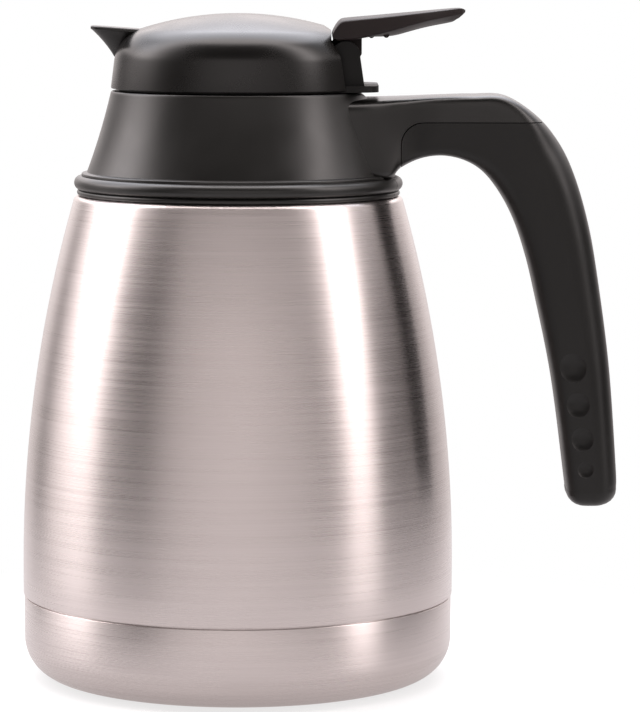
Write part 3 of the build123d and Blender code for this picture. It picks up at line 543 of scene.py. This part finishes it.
# %% [markdown]
# The flask's shell is drawn from a steel tube and spun to shape: upright at the belly, one long arc
# up the flank, a tight round at the shoulder, and a straight neck that the plastic snaps over. Its
# stepped lower end goes down inside the base.

# %% Flask shell
shell_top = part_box("outer_shell")[1]
body_radius = shell_top.x / mm
belly_height = 34.0
flank_radius = 400.0
shoulder_height = 145.6
shell_wall = 0.6
seam_top = 25.25
step_radius = 64.05
step_bottom = 16.0
steel_neck_radius = 31.6
steel_neck_top = 159.5
shoulder_round = 1.8
shoulder_fillet = 2.6
steel_edge = 0.2
flank_centre = (body_radius - flank_radius, belly_height)
round_height = shoulder_height - shoulder_round
round_reach = flank_radius - shoulder_round
flank_angle = math.degrees(math.asin((round_height - belly_height) / round_reach))
round_centre = (flank_centre[0] + round_reach * math.cos(math.radians(flank_angle)), round_height)
inner_radius = flank_radius - shell_wall
inner_top = shoulder_height - shell_wall
inner_angle = math.degrees(math.asin((inner_top - belly_height) / inner_radius))
inner_shoulder = flank_centre[0] + inner_radius * math.cos(math.radians(inner_angle))

shell = Section(step_radius - shell_wall, step_bottom)
shell.line((step_radius, step_bottom), (step_radius, seam_top), (body_radius, seam_top))
shell.line((body_radius, belly_height))
shell.arc(flank_centre, flank_angle, 40)
shell.arc(round_centre, 90 - flank_angle, 10)
shell.line((steel_neck_radius, shoulder_height), (steel_neck_radius, steel_neck_top))
shell.line((steel_neck_radius - shell_wall, steel_neck_top))
shell.line((steel_neck_radius - shell_wall, inner_top), (inner_shoulder, inner_top))
shell.arc(flank_centre, -inner_angle, 24)
shell.line((body_radius - shell_wall, seam_top + shell_wall))
shell.line((step_radius - shell_wall, seam_top + shell_wall))
shell_mesh = shell.close().turned()
soften(shell_mesh, ring_edges(shell_mesh, steel_neck_radius, shoulder_height), shoulder_fillet, 5)
soften(shell_mesh, ring_edges(shell_mesh, body_radius, seam_top), steel_edge)
add_piece("flask_shell", shell_mesh, "flask", brushed_steel, "body_steel", "outer_shell")

# %% [markdown]
# The base is a shallow pressed cup. A half-millimetre gap separates it from the shell, and its foot
# is a flat ring with a sunken middle.

# %% Base
base_inset = 0.3
base_radius = body_radius - base_inset
base_round = 12.0
base_wall = 0.6
base_top = 24.75
foot_outer = base_radius - base_round
foot_width = 12.0
foot_inner = foot_outer - foot_width
foot_recess = 1.5
recess_radius = foot_inner - foot_recess
cup_inside = base_radius - base_wall
cup = Section(0, foot_recess)
cup.line((recess_radius, foot_recess), (foot_inner, 0), (foot_outer, 0))
cup.arc((foot_outer, base_round), 90, 16)
cup.line((base_radius, base_top), (cup_inside, base_top), (cup_inside, base_round))
cup.arc((foot_outer, base_round), -90, 16)
cup.line((foot_inner + base_wall, base_wall))
cup.line((recess_radius + base_wall, foot_recess + base_wall), (0, foot_recess + base_wall))
cup_mesh = cup.turned()
soften(cup_mesh, ring_edges(cup_mesh, base_radius, base_top), steel_edge)
add_piece("flask_base", cup_mesh, "flask", brushed_steel, "body_steel", "base_cup")

# %% [markdown]
# Some parts are spun or lofted first and then cut, as a maker would mill or mould an opening into
# them. A Boolean modifier does that here, and its result is read back as a mesh. Most of the cutting
# blocks are prisms: an outline seen from the side, pushed out to both sides.


# %% Cutting
def carve(mesh, tool, how="DIFFERENCE"):
    """Cut a mesh with another through a Boolean modifier, and give the result."""
    made = []
    for part in (mesh, tool):
        data = bpy.data.meshes.new("cutting")
        part.to_mesh(data)
        part.free()
        made.append(bpy.data.objects.new("cutting", data))
        bpy.context.scene.collection.objects.link(made[-1])
    cut = made[0].modifiers.new("cut", "BOOLEAN")
    cut.operation = how
    cut.solver = "EXACT"
    cut.object = made[1]
    solved = made[0].evaluated_get(bpy.context.evaluated_depsgraph_get())
    result = bmesh.new()
    result.from_mesh(solved.to_mesh())
    solved.to_mesh_clear()
    for part in made:
        bpy.data.objects.remove(part)
    return result


def prism(outline, half):
    """Extrude a side outline, drawn as (x, z) in millimetres, to both sides of the middle plane."""
    mesh = bmesh.new()
    corners = [mesh.verts.new((x * mm, -half * mm, z * mm)) for x, z in outline]
    face = mesh.faces.new(corners)
    pushed = bmesh.ops.extrude_face_region(mesh, geom=[face])
    moved = [part for part in pushed["geom"] if isinstance(part, bmesh.types.BMVert)]
    bmesh.ops.translate(mesh, verts=moved, vec=(0, 2 * half * mm, 0))
    bmesh.ops.recalc_face_normals(mesh, faces=mesh.faces)
    return mesh


# %% [markdown]
# The neck is one large moulding: a cone with slightly hollow sides on a thin foot flange, a threaded
# bore for the lid, and a ledge that rests on the rim of the steel. Where the handle's arm leaves it,
# the rim is cut down in a short ramp. The neck is spun and the ramp is cut with a simple wedge.

# %% Neck
neck_top = 176.9
neck_top_radius = 38.2
neck_foot = (45.5, 152.6)
flange_radius = 47.1
flange_bottom = 151.6
flange_top = 152.3
bore_radius = 33.0
ledge_top = 163.2
ledge_bottom = 161.2
ledge_radius = 30.2
steel_clearance = 0.25
neck_root_radius = 45.3
neck_hollow = 0.42
neck_edge = 0.5
flange_edge = 0.25
neck_inside = steel_neck_radius + steel_clearance
neck = Section(neck_inside, shoulder_height)
neck.line((neck_root_radius, shoulder_height), (neck_root_radius, flange_bottom))
neck.line((flange_radius, flange_bottom))
neck.line((flange_radius, flange_top), neck_foot)
neck.bow((neck_top_radius, neck_top), -neck_hollow, 24)
neck.line((bore_radius, neck_top), (bore_radius, ledge_top), (ledge_radius, ledge_top))
neck.line((ledge_radius, ledge_bottom), (neck_inside, ledge_bottom))
neck_mesh = neck.close().turned()
soften(neck_mesh, ring_edges(neck_mesh, neck_top_radius, neck_top), neck_edge)
soften(neck_mesh, ring_edges(neck_mesh, bore_radius, neck_top), neck_edge)
soften(neck_mesh, ring_edges(neck_mesh, flange_radius, flange_top), flange_edge)
ramp_start = 35.8
ramp_drop = 2.1
ramp_end = 38.6
ramp_half = 22.0
past_rim = ramp_end + 6
wedge = [(past_rim, neck_top + 1), (ramp_start, neck_top + 1), (ramp_start, neck_top)]
wedge += [(ramp_end, neck_top - ramp_drop), (past_rim, neck_top - ramp_drop)]
neck_mesh = carve(neck_mesh, prism(wedge, ramp_half))
add_piece("pouring_neck", neck_mesh, "flask", neck_black, "neck_plastic", "neck")

# %% [markdown]
# The lid screws in on two ridges of a steep thread. A ridge is a small profile that is spun and
# raised at the same time, which the spin's dvec does.


# %% Thread ridges
thread_starts = 2
thread_height = 165.4
thread_lead = 12.0
thread_turns = 0.45
thread_steps = 72
ridge_outline = ((0.3, -1.2), (-1.4, -0.65), (-1.4, 0.65), (0.3, 1.2))


def thread_ridges():
    """The ridges of a right-hand thread in the bore."""
    mesh = bmesh.new()
    for start in range(thread_starts):
        places = [(bore_radius + reach, 0, thread_height + rise) for reach, rise in ridge_outline]
        corners = [mesh.verts.new(Vector(place) * mm) for place in places]
        mesh.faces.new(corners)
        to_start = Matrix.Rotation(math.tau * start / thread_starts, 3, "Z")
        bmesh.ops.rotate(mesh, verts=corners, matrix=to_start)
        drawn = corners + list(dict.fromkeys(edge for corner in corners for edge in corner.link_edges))
        turn = {"axis": (0, 0, 1), "angle": math.tau * thread_turns, "steps": thread_steps}
        climb = (0, 0, thread_lead * thread_turns / thread_steps * mm)
        spun = bmesh.ops.spin(mesh, geom=drawn, cent=(0, 0, 0), dvec=climb, **turn)
        bmesh.ops.contextual_create(mesh, geom=edges_among(spun["geom_last"]))
    tidy_up(mesh)
    return mesh


add_piece("neck_thread", thread_ridges(), "flask", neck_black, "neck_plastic", "neck")

# %% [markdown]
# The collar is a double bead: a tall round one over a low one. It is snapped in round the foot of
# the neck and is open under the handle, where the neck's own moulding carries the same beads on.

# %% Collar
collar_inner = 45.4
collar_foot = (47.9, 145.8)
collar_groove = (47.9, 147.4)
collar_top = (47.0, 151.5)
low_bead = 0.6
tall_bead = 1.9
rear_angle = 31.0
joint_angle = 0.32


def collar_stretch(degrees):
    """A stretch of the collar, centred on the handle's side."""
    bead = Section(*collar_foot)
    bead.bow(collar_groove, low_bead, 8)
    bead.bow(collar_top, tall_bead, 14)
    bead.line((collar_inner, collar_top[1]), (collar_inner, collar_foot[1]))
    mesh = bead.close().turned(degrees, int(degrees / 360 * turn_steps))
    to_middle = Matrix.Rotation(math.radians(-degrees / 2), 3, "Z")
    bmesh.ops.rotate(mesh, verts=mesh.verts, matrix=to_middle)
    return mesh


front_collar = collar_stretch(360 - rear_angle - 2 * joint_angle)
bmesh.ops.rotate(front_collar, verts=front_collar.verts, matrix=Matrix.Rotation(math.pi, 3, "Z"))
add_piece("front_collar", front_collar, "flask", neck_black, "neck_plastic", "collar_ring")
add_piece("rear_collar", collar_stretch(rear_angle), "flask", neck_black, "neck_plastic", "neck")

# %% [markdown]
# The handle, the beak and the lever are free shapes, neither round nor flat. They are lofted: rings
# are set one after another and bridge_loops joins them. Each ring lies between an ellipse and a
# rectangle, by the power that its circle is bent with, and smooth curves set the places of the rings.


# %% Curves and lofts
def smooth_line(knots, parts=12):
    """Points on a smooth curve through the given ones."""
    ends = [2 * knots[0] - knots[1], *knots, 2 * knots[-1] - knots[-2]]
    line = []
    for before, start, end, after in zip(ends, ends[1:], ends[2:], ends[3:]):
        leave = start + (end - before) / 6
        arrive = end - (after - start) / 6
        line += interpolate_bezier(start, leave, arrive, end, parts)[:-1]
    return line + [knots[-1]]


def between(start, end, share):
    """A value part of the way from one to another."""
    return start + (end - start) * share


def ease(share):
    """Turn an even change from 0 to 1 into one that starts and stops softly."""
    share = min(max(share, 0.0), 1.0)
    return share * share * (3 - 2 * share)


def soft_ring(mesh, middle, long_side, length, width, power, far_power=None, points=96):
    """A ring between an ellipse and a rectangle, its width along Y. The far half may be rounder."""
    ring = bmesh.ops.create_circle(mesh, segments=points, radius=1)["verts"]
    for corner in ring:
        bend = 2 / (far_power if far_power and corner.co.x > 0 else power)
        along = math.copysign(abs(corner.co.x) ** bend, corner.co.x)
        beside = math.copysign(abs(corner.co.y) ** bend, corner.co.y)
        corner.co = middle + long_side * (along * length / 2) + Vector((0, beside * width / 2, 0))
    return ring


def ring_of(verts):
    """The edges that join the vertices of a ring, in their own order."""
    members = set(verts)
    edges = dict.fromkeys(edge for vert in verts for edge in vert.link_edges)
    return [edge for edge in edges if all(vert in members for vert in edge.verts)]


def loft(mesh, rings):
    """Join rings one after another and cap both ends."""
    loops = [ring_of(ring) for ring in rings]
    bmesh.ops.contextual_create(mesh, geom=loops[0])
    bmesh.ops.contextual_create(mesh, geom=loops[-1])
    for near, far in zip(loops, loops[1:]):
        bmesh.ops.bridge_loops(mesh, edges=near + far)
    bmesh.ops.recalc_face_normals(mesh, faces=mesh.faces)
    return mesh


print("a quarter of the way, eased:", round(ease(0.25), 3))

# %% [markdown]
# The handle is a thick bar that leaves the neck wide, narrows into an arm and bends down into the
# grip. Its outer and inner sides follow different curves, so it can't be a tube along a path. Both
# sides are drawn with the same number of knots, so that they can be walked along together.

# %% The sides of the handle
outer_side = [
    (30, 174.6), (42, 175.0), (50, 175.3), (60, 175.8), (70, 176.1), (80, 175.7), (89.4, 169.8),
    (96.2, 161.7), (100.9, 152.0), (104.9, 138.8), (107.8, 124.0), (111.9, 95.0), (114.4, 64.0),
    (114.6, 57.0),
]
inner_side = [
    (34, 151.5), (44.5, 151.2), (48.5, 154.6), (54.5, 157.3), (61.2, 158.1), (67.8, 156.6),
    (73.4, 153.0), (78.6, 146.4), (82.8, 138.4), (86.2, 128.6), (89.0, 117.5), (94.6, 91.1),
    (98.9, 60.0), (99.2, 57.0),
]
root_half = 22.0
arm_half = 12.7
end_half = 10.6
taper_start = 34.0
taper_end = 61.0
handle_reach = 114.4


def handle_half(x):
    """Half width of the handle at a distance from the axis."""
    if x > taper_end:
        return between(arm_half, end_half, (x - taper_end) / (handle_reach - taper_end))
    return between(root_half, arm_half, ease((x - taper_start) / (taper_end - taper_start)))


print("knots on each side:", len(outer_side), len(inner_side))

# %% [markdown]
# At each station a ring spans from the inner curve to the outer one: almost a rectangle in the arm,
# softer in the grip, and softest on the grip's outer side, which the palm closes round. The lower
# end is closed by smaller and smaller rings, and the first ring is bent onto the neck's round wall.

# %% The bar of the handle
handle_bottom = 52.4
end_round = 5.0
end_rings = 6
end_lean = 0.01
neck_wall_middle = 36.5
arm_power = 9.0
grip_power = 4.5
back_power = 2.3
bend_start = 68.0
bend_reach = 20.0


def handle_bar():
    """Arm and grip as one lofted bar."""
    mesh = bmesh.new()
    outer_line = smooth_line([Vector((x, 0, z)) * mm for x, z in outer_side])
    inner_line = smooth_line([Vector((x, 0, z)) * mm for x, z in inner_side])
    rings = []
    for outer, inner in zip(outer_line, inner_line):
        middle = (outer + inner) / 2
        depth = (outer - inner).length
        half = handle_half(middle.x / mm) * mm
        turned = ease((middle.x / mm - bend_start) / bend_reach)
        powers = (between(arm_power, grip_power, turned), between(arm_power, back_power, turned))
        rings.append(soft_ring(mesh, middle, (outer - inner).normalized(), depth, 2 * half, *powers))
    for step in range(1, end_rings + 1):
        lean = math.radians(90 * step / end_rings)
        inset = end_round * mm * (1 - math.cos(lean))
        drop = Vector((end_lean, 0, -1)) * (outer.z - handle_bottom * mm) * math.sin(lean)
        size = (depth - 2 * inset, 2 * half - 2 * inset)
        rings.append(soft_ring(mesh, middle + drop, Vector((1, 0, 0)), *size, grip_power, back_power))
    for corner in rings[0]:
        corner.co.x = math.sqrt((neck_wall_middle * mm) ** 2 - corner.co.y**2)
    return loft(mesh, rings)


print("rings that close the handle's end:", end_rings)

# %% [markdown]
# Arm and grip are two mouldings that meet along a fine seam: level behind, with a round corner at
# the front. The bar is made twice. The arm is what is left outside the seam's outline, and the grip
# is what lies inside it, a quarter of a millimetre smaller so that the seam shows.

# %% Arm
seam_height = 168.2
seam_start = 48.4
seam_round = 6.5
seam_gap = 0.25
corner_steps = 12
past_grip = 150.0
block_half = 30.0


def grip_region(gap):
    """A block that holds everything below the seam line between arm and grip."""
    left = seam_start + gap
    top = seam_height - gap
    middle = Vector((left + seam_round, top - seam_round))
    outline = [(left, 0), (left, top - seam_round)]
    for step in range(1, corner_steps):
        lean = math.radians(90 * step / corner_steps)
        outline.append(middle + Vector((-math.cos(lean), math.sin(lean))) * seam_round)
    return prism(outline + [(left + seam_round, top), (past_grip, top), (past_grip, 0)], block_half)


arm_mesh = carve(handle_bar(), grip_region(0))
add_piece("handle_arm", arm_mesh, "flask", neck_black, "neck_plastic", "neck")

# %% [markdown]
# Near its end the grip has four round dimples on each side, which fall in size. Each one is cut with
# a ball, set so deep that it leaves a dimple of the right width. The flank is slightly bowed, so the
# balls are sunk a little further than its middle line asks for.

# %% Grip and dimples
dimples = [(100.2, 94.7, 4.2), (101.9, 83.5, 3.5), (103.4, 73.2, 3.3), (104.5, 64.0, 2.2)]
dimple_slope = 0.3
flank_sink = 0.3
grip_mesh = carve(handle_bar(), grip_region(seam_gap), "INTERSECT")
for x, z, radius in dimples:
    depth = radius * dimple_slope
    ball = (radius**2 + depth**2) / (2 * depth)
    middle = handle_half(x) - flank_sink - depth + ball
    for side in (-1, 1):
        size = {"u_segments": 64, "v_segments": 48, "radius": ball * mm}
        place = Matrix.Translation(Vector((x, side * middle, z)) * mm)
        scoop = bmesh.new()
        bmesh.ops.create_uvsphere(scoop, matrix=place, **size)
        grip_mesh = carve(grip_mesh, scoop)
rim_crease = 18
looks = (grip_black, "grip_plastic")
add_piece("handle_grip_shell", grip_mesh, "flask", *looks, "handle_grip", crease=rim_crease)

# %% [markdown]
# The dome of the lid is a shallow cap on an upright skirt, moulded as one thin shell. It is spun
# like the neck, and its hollow is spun as well, to trim what is joined to it.

# %% Dome
cap_centre = (0, 105.1)
cap_angle = 18.25
turn_centre = (26.31, 184.87)
turn_angle = 64.65
skirt_radius = 38.3
skirt_bottom = 177.6
skirt_edge = 0.4
dome_wall = 2.0
dome_peak = 200.1
inner_corner = (35.24, 185.98)


def dome_inside():
    """The hollow of the dome, as a solid to cut with."""
    hollow = Section(0, dome_peak - dome_wall)
    hollow.arc(cap_centre, -cap_angle, 16).arc(turn_centre, -turn_angle, 10)
    hollow.line((skirt_radius - dome_wall, skirt_bottom), (0, skirt_bottom))
    return hollow.turned()


dome = Section(0, dome_peak)
dome.arc(cap_centre, -cap_angle, 24).arc(turn_centre, -turn_angle, 20)
dome.line((skirt_radius, skirt_bottom), (skirt_radius - dome_wall, skirt_bottom), inner_corner)
dome.arc(turn_centre, turn_angle, 10).arc(cap_centre, cap_angle, 16)
dome_mesh = dome.turned()
soften(dome_mesh, ring_edges(dome_mesh, skirt_radius, skirt_bottom), skirt_edge)
print("dome faces before:", len(dome_mesh.faces))

# %% [markdown]
# Behind, the dome is opened where the lever sits. The opening is cut with one prism, whose front is
# upright below and slanted above, so that the cap ends in a bevelled lip.

# %% The lever's opening
slot_front = 27.7
slot_shoulder = 194.9
slot_lip = (24.6, 197.2)
slot_half = 21.0
under_dome = 170.0
over_dome = 210.0
behind_dome = 50.0
slot_outline = [(slot_front, under_dome), (slot_front, slot_shoulder), slot_lip]
slot_outline += [(slot_lip[0], over_dome), (behind_dome, over_dome), (behind_dome, under_dome)]
dome_mesh = carve(dome_mesh, prism(slot_outline, slot_half))
print("dome faces after:", len(dome_mesh.faces))

# %% [markdown]
# The beak is a closed spout: a thin flat roof with a rounded end, over a hull that narrows downwards
# like the bow of a boat. Hull and channel are the same loft, drawn once at full size and once set in
# by the wall. All their slices tip with the roof, which falls a little towards the dome.

# %% Beak
beak_front = -44.25
beak_root = -27.5
beak_roof_top = 196.3
beak_roof_thick = 1.1
beak_fall = math.radians(4)
beak_half = 7.1
beak_foot_front = -37.3
beak_foot_half = 1.7
beak_foot_height = 187.0
beak_lap = 0.3
beak_wall = 1.3
hull_steps = 12
prow_bow = 0.3
prow_narrowing = 1.15
roof_power = 4.5
foot_power = 2.6


def beak_ring(mesh, front, half, height, power=roof_power):
    """A slice of the beak, rounded in front and reaching into the dome behind."""
    fall = Vector((math.cos(beak_fall), 0, -math.sin(beak_fall)))
    reach = beak_root - front
    middle = Vector((front, 0, height)) + fall * reach
    return soft_ring(mesh, middle * mm, fall, 2 * reach * mm, 2 * half * mm, power)


def beak_hull(inset):
    """The hull, or with an inset its channel, lofted from the roof down to the foot."""
    mesh = bmesh.new()
    rings = []
    for step in range(hull_steps + 1):
        share = step / hull_steps
        curve = share + prow_bow * share * (1 - share)
        front = between(beak_front + beak_lap, beak_foot_front, curve) + inset
        half = between(beak_half - beak_lap, beak_foot_half, share**prow_narrowing)
        half -= inset * (1 - share / 2)
        height = between(beak_roof_top - beak_roof_thick, beak_foot_height + inset, share)
        rings.append(beak_ring(mesh, front, half, height, between(roof_power, foot_power, share)))
    return loft(mesh, rings)


print("slices in the beak's hull:", hull_steps + 1)

# %% [markdown]
# The roof is a stack of five slices, set in at the top and a little at the bottom, which rounds its
# edges. The drink leaves through a mouth under the roof at the tip, cut with a low prism. Roof and
# hull are trimmed by the dome's hollow, and the channel is cut through the dome's wall.

# %% Joining the beak to the dome
roof_slices = [(0.5, 0.0), (0.2, 0.06), (0.0, 0.3)]
roof_slices += [(0.0, beak_roof_thick - 0.15), (0.15, beak_roof_thick)]
mouth_bottom = 193.0
mouth_half = 2.4
mouth_back = -38.0
past_beak = -60.0
mouth_outline = [(past_beak, mouth_bottom), (past_beak, beak_roof_top - 1.3)]
mouth_outline += [(mouth_back, beak_roof_top - 1.5), (mouth_back, mouth_bottom)]
roof = bmesh.new()
roof_rings = []
for inset, drop in roof_slices:
    roof_rings.append(beak_ring(roof, beak_front + inset, beak_half - inset, beak_roof_top - drop))
roof = carve(loft(roof, roof_rings), dome_inside())
hull = carve(beak_hull(0), prism(mouth_outline, mouth_half))
hull = carve(carve(hull, beak_hull(beak_wall)), dome_inside())
dome_mesh = carve(dome_mesh, beak_hull(beak_wall))
for name, mesh in (("dome", dome_mesh), ("beak_roof", roof), ("beak_hull", hull)):
    add_piece(name, mesh, "lid", lid_black, "lid_plastic", "lid_shell")

# %% [markdown]
# Four bosses inside the dome take the screws that hold the lid's floor. One boss is a short tube, so
# it is spun from a small rectangle, moved to its place and added to the others.

# %% Screw bosses
boss_along = 15
boss_beside = 19
boss_outline = ((1.25, 179.1), (3.2, 179.1), (3.2, 196.0), (1.25, 196.0))
bosses = bmesh.new()
for x in (-boss_along, boss_along):
    for y in (-boss_beside, boss_beside):
        boss = Section(*boss_outline[0]).line(*boss_outline[1:]).close().turned(360, 32)
        bmesh.ops.translate(boss, verts=boss.verts, vec=(x * mm, y * mm, 0))
        boss_data = bpy.data.meshes.new("boss")
        boss.to_mesh(boss_data)
        boss.free()
        bosses.from_mesh(boss_data)
        bpy.data.meshes.remove(boss_data)
add_piece("lid_bosses", bosses, "lid", lid_black, "lid_plastic", "lid_shell")

# %% [markdown]
# The thumb lever is a wide paddle with a flat top, deep near its pin and thin at its rounded tip,
# with a shallow keel below. Its top and underside are drawn as curves and its plan as half widths.

# %% The outline of the lever
paddle_top = [
    (27.9, 193.9), (28.2, 195.0), (29.0, 196.5), (30.1, 197.9), (31.2, 198.5), (34, 198.85),
    (42.3, 199.6), (54.2, 200.75), (62, 201.55), (65.4, 201.85), (66.8, 201.75), (67.7, 201.35),
]
paddle_bottom = [
    (28.1, 193.1), (28.9, 192.6), (30.0, 192.35), (31.4, 192.4), (33, 192.5), (35.6, 192.8),
    (43, 194.5), (54.6, 197.75), (62, 199.3), (65.4, 200.0), (66.8, 200.35), (67.7, 200.75),
]
paddle_side = [
    (27, 20.3), (34, 20.2), (42, 19.5), (48, 18.2), (54, 16.1), (59.8, 12.7), (64, 9.0),
    (66.8, 5.0), (68.1, 1.6),
]
keel_depth = 2.0
keel_start = 35.0
keel_rise = 13.0
keel_end = 63.5
keel_fall = 5.0


def paddle_half(x):
    """Half width of the paddle at a distance from the axis."""
    for (start, wide), (end, narrow) in zip(paddle_side, paddle_side[1:]):
        if x <= end:
            return between(wide, narrow, max(x - start, 0) / (end - start))
    return paddle_side[-1][1]


def keel_drop(x):
    """How far the keel hangs down at a distance from the axis."""
    return keel_depth * ease((x - keel_start) / keel_rise) * (1 - ease((x - keel_end) / keel_fall))


print("lever's length in mm:", paddle_top[-1][0] - paddle_top[0][0])

# %% [markdown]
# The paddle is lofted from front to tip like the handle. Each slice is nearly a rectangle, whose
# underside is then pulled down towards the middle for the keel.

# %% Lever paddle
paddle_power = 11.0
paddle_crease = 40
keel_half = 4.0
paddle = bmesh.new()
paddle_rings = []
tops = smooth_line([Vector((x, 0, z)) for x, z in paddle_top], 8)
bottoms = smooth_line([Vector((x, 0, z)) for x, z in paddle_bottom], 8)
for top, bottom in zip(tops, bottoms):
    middle = (top + bottom) / 2
    depth = (top - bottom).length
    half = paddle_half(middle.x)
    upright = (top - bottom).normalized()
    ring = soft_ring(paddle, middle * mm, upright, depth * mm, 2 * half * mm, paddle_power)
    for corner in ring:
        beside = abs(corner.co.y) / mm
        low = corner.co.z < middle.z * mm
        share = (half - beside) / max(half - keel_half, 1)
        dip = keel_drop(middle.x) * min(max(share, 0), 1)
        corner.co.z -= dip * mm if low else 0
    paddle_rings.append(ring)
paddle = loft(paddle, paddle_rings)
looks = (lever_brown, "lever_plastic")
add_piece("thumb_paddle", paddle, "lever", *looks, "thumb_lever", crease=paddle_crease)

# %% [markdown]
# Under the paddle a knuckle turns on the pin, and an arm runs forward from it to a fork that lifts
# the valve's stem. All of it is one outline seen from the side, so it is a prism, with a hole cut
# for the pin and a gap cut between the tines of the fork.

# %% Lever knuckle and fork
pin_x = 32.0
pin_height = 188.0
pin_bore = 1.55
knuckle_half = 6.6
fork_half = 3.1
knuckle_outline = [
    (0, 185.0), (-1.6, 184.4), (-2.2, 182.8), (-1.6, 181.2), (0, 180.6), (31.5, 183.8),
    (33.6, 184.1), (35.2, 185.2), (36.1, 186.9), (36.8, 188.2), (36.8, 193.6), (28.4, 193.6),
    (28.0, 190.9), (7.0, 185.0),
]
fork_outline = [(-10, 179.5), (-10, 190), (4.5, 190), (4.5, 179.5)]


def rod_across(mesh, x, height, radius, length, segments):
    """A round rod that lies across the lever."""
    place = Matrix.Translation(Vector((x, 0, height)) * mm) @ Matrix.Rotation(math.pi / 2, 4, "X")
    size = {"radius1": radius * mm, "radius2": radius * mm, "depth": length * mm}
    bmesh.ops.create_cone(mesh, cap_ends=True, segments=segments, matrix=place, **size)
    return mesh


bore = rod_across(bmesh.new(), pin_x, pin_height, pin_bore, length=20, segments=48)
knuckle = carve(prism(knuckle_outline, knuckle_half), bore)
knuckle = carve(knuckle, prism(fork_outline, fork_half))
add_piece("lever_knuckle", knuckle, "lever", lever_brown, "lever_plastic", "thumb_lever")

# %% [markdown]
# Two low ribs cross the underside of the paddle and stiffen it. They are round rods that lie partly
# inside it.

# %% Lever ribs
rib_places = ((39.6, 193.9), (44.0, 194.0))
rib_radius = 0.9
rib_length = 22.0
grip_ribs = bmesh.new()
for x, height in rib_places:
    rod_across(grip_ribs, x, height, rib_radius, rib_length, segments=32)
add_piece("lever_ribs", grip_ribs, "lever", lever_brown, "lever_plastic", "thumb_lever")
